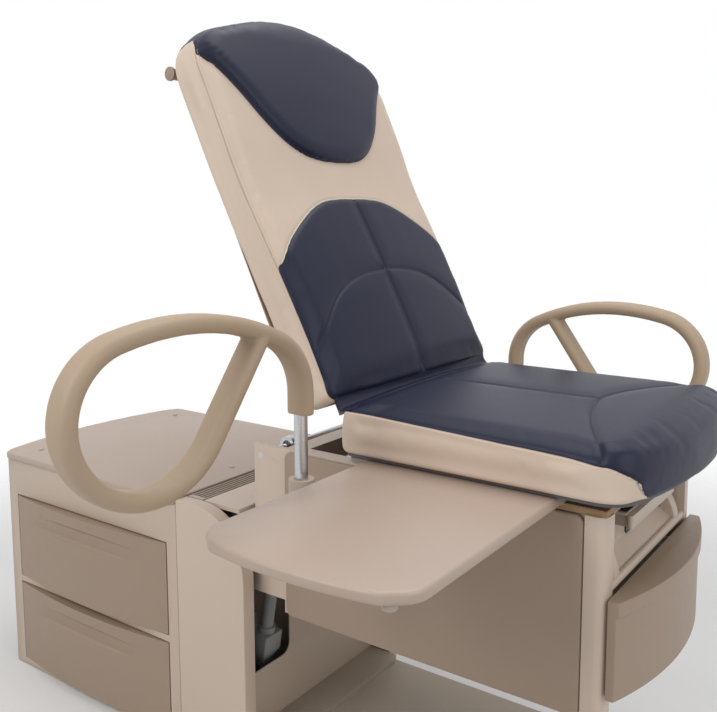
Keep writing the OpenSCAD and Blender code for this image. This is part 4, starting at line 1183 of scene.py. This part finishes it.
def studio_floor():
    bpy.ops.mesh.primitive_circle_add(vertices=96, radius=FLOOR_R, fill_type="NGON",
                                      location=(0.1, 0, -0.001))
    floor = bpy.context.object
    floor.name = "studio_floor"
    material, tree, shader = shader_tree("floor_paper")
    shader.inputs["Base Color"].default_value = (0.86, 0.86, 0.86, 1)
    shader.inputs["Roughness"].default_value = 0.9
    coords = tree.nodes.new("ShaderNodeTexCoord")
    length = tree.nodes.new("ShaderNodeVectorMath")
    length.operation = "LENGTH"
    fade = tree.nodes.new("ShaderNodeMapRange")
    fade.interpolation_type = "SMOOTHSTEP"
    fade.inputs["From Min"].default_value = FLOOR_FADE[0]
    fade.inputs["From Max"].default_value = FLOOR_FADE[1]
    clear = tree.nodes.new("ShaderNodeBsdfTransparent")
    mix = tree.nodes.new("ShaderNodeMixShader")
    tree.links.new(coords.outputs["Object"], length.inputs[0])
    tree.links.new(length.outputs["Value"], fade.inputs["Value"])
    tree.links.new(fade.outputs["Result"], mix.inputs["Fac"])
    tree.links.new(shader.outputs["BSDF"], mix.inputs[1])
    tree.links.new(clear.outputs["BSDF"], mix.inputs[2])
    tree.links.new(mix.outputs["Shader"], tree.nodes["Material Output"].inputs["Surface"])
    floor.data.materials.append(material)


def studio_world(ambient):
    world = bpy.data.worlds.new("studio")
    bpy.context.scene.world = world
    world.use_nodes = True
    tree = world.node_tree
    background = tree.nodes["Background"]
    background.inputs["Color"].default_value = (1, 1, 1, 1)
    path = tree.nodes.new("ShaderNodeLightPath")
    seen = math_node(tree, "MAXIMUM", path.outputs["Is Camera Ray"], path.outputs["Is Glossy Ray"])
    seen = math_node(tree, "MAXIMUM", seen, path.outputs["Is Transmission Ray"])
    level = tree.nodes.new("ShaderNodeMapRange")
    level.inputs["To Min"].default_value = ambient
    level.inputs["To Max"].default_value = 1.0
    tree.links.new(seen, level.inputs["Value"])
    tree.links.new(level.outputs["Result"], background.inputs["Strength"])


def softbox(name, place_at, aim, size, power):
    lamp = bpy.data.lights.new(name, "AREA")
    lamp.shape = "SQUARE"
    lamp.size = size
    lamp.energy = power
    holder = bpy.data.objects.new(name, lamp)
    holder.location = place_at
    holder.rotation_euler = (Vector(aim) - Vector(place_at)).to_track_quat("-Z", "Y").to_euler()
    bpy.context.scene.collection.objects.link(holder)


# The photograph's viewpoint, solved from edges that are level, upright and parallel
CAMERA_AT = (1.2793, -1.562, 1.2419)
CAMERA_HEADING = (-0.571, 0.821, 0)
CAMERA_DOWN_DEG = 6.72
LENS_MM = 43.03
SHIFT = (-0.030, -0.068)


def studio_camera():
    lens = bpy.data.cameras.new("photo_view")
    lens.lens = LENS_MM
    lens.sensor_width = 36
    lens.shift_x, lens.shift_y = SHIFT
    pitch = math.radians(CAMERA_DOWN_DEG)
    heading = Vector(CAMERA_HEADING).normalized()
    view = heading * math.cos(pitch) - Vector((0, 0, math.sin(pitch)))
    camera = bpy.data.objects.new("photo_view", lens)
    camera.location = CAMERA_AT
    camera.rotation_euler = view.to_track_quat("-Z", "Y").to_euler()
    bpy.context.scene.collection.objects.link(camera)
    bpy.context.scene.camera = camera


AMBIENT = 0.42

studio_camera()
studio_floor()
studio_world(AMBIENT)
softbox("key", (-0.6, -3.2, 3.0), (0.3, 0, 0.8), 2.2, 62)
softbox("fill", (3.4, -0.8, 2.2), (0.4, 0, 0.7), 2.4, 34)
softbox("top", (0.2, 0.6, 3.8), (0.2, 0, 0.6), 2.4, 40)
bpy.context.scene.view_settings.view_transform = "Standard"

paint_cad_nodes()
for name, radius in EDGE_RADII_MM.items():
    soften_edges(name, radius)
foam_arm("arm_loop_near", "near_arm_foam", NEAR_SWING, ARM_BASE_Z + NEAR_LIFT, -POST_Y,
         NEAR_SLEEVE_END)
foam_arm("arm_loop_far", "far_arm_foam", 0, ARM_BASE_Z, POST_Y, FAR_SLEEVE_END)
rear_cover()
back_trim(back_upholstery())
seat_trim(seat_upholstery())
board_under_seat()
hinge_gusset()
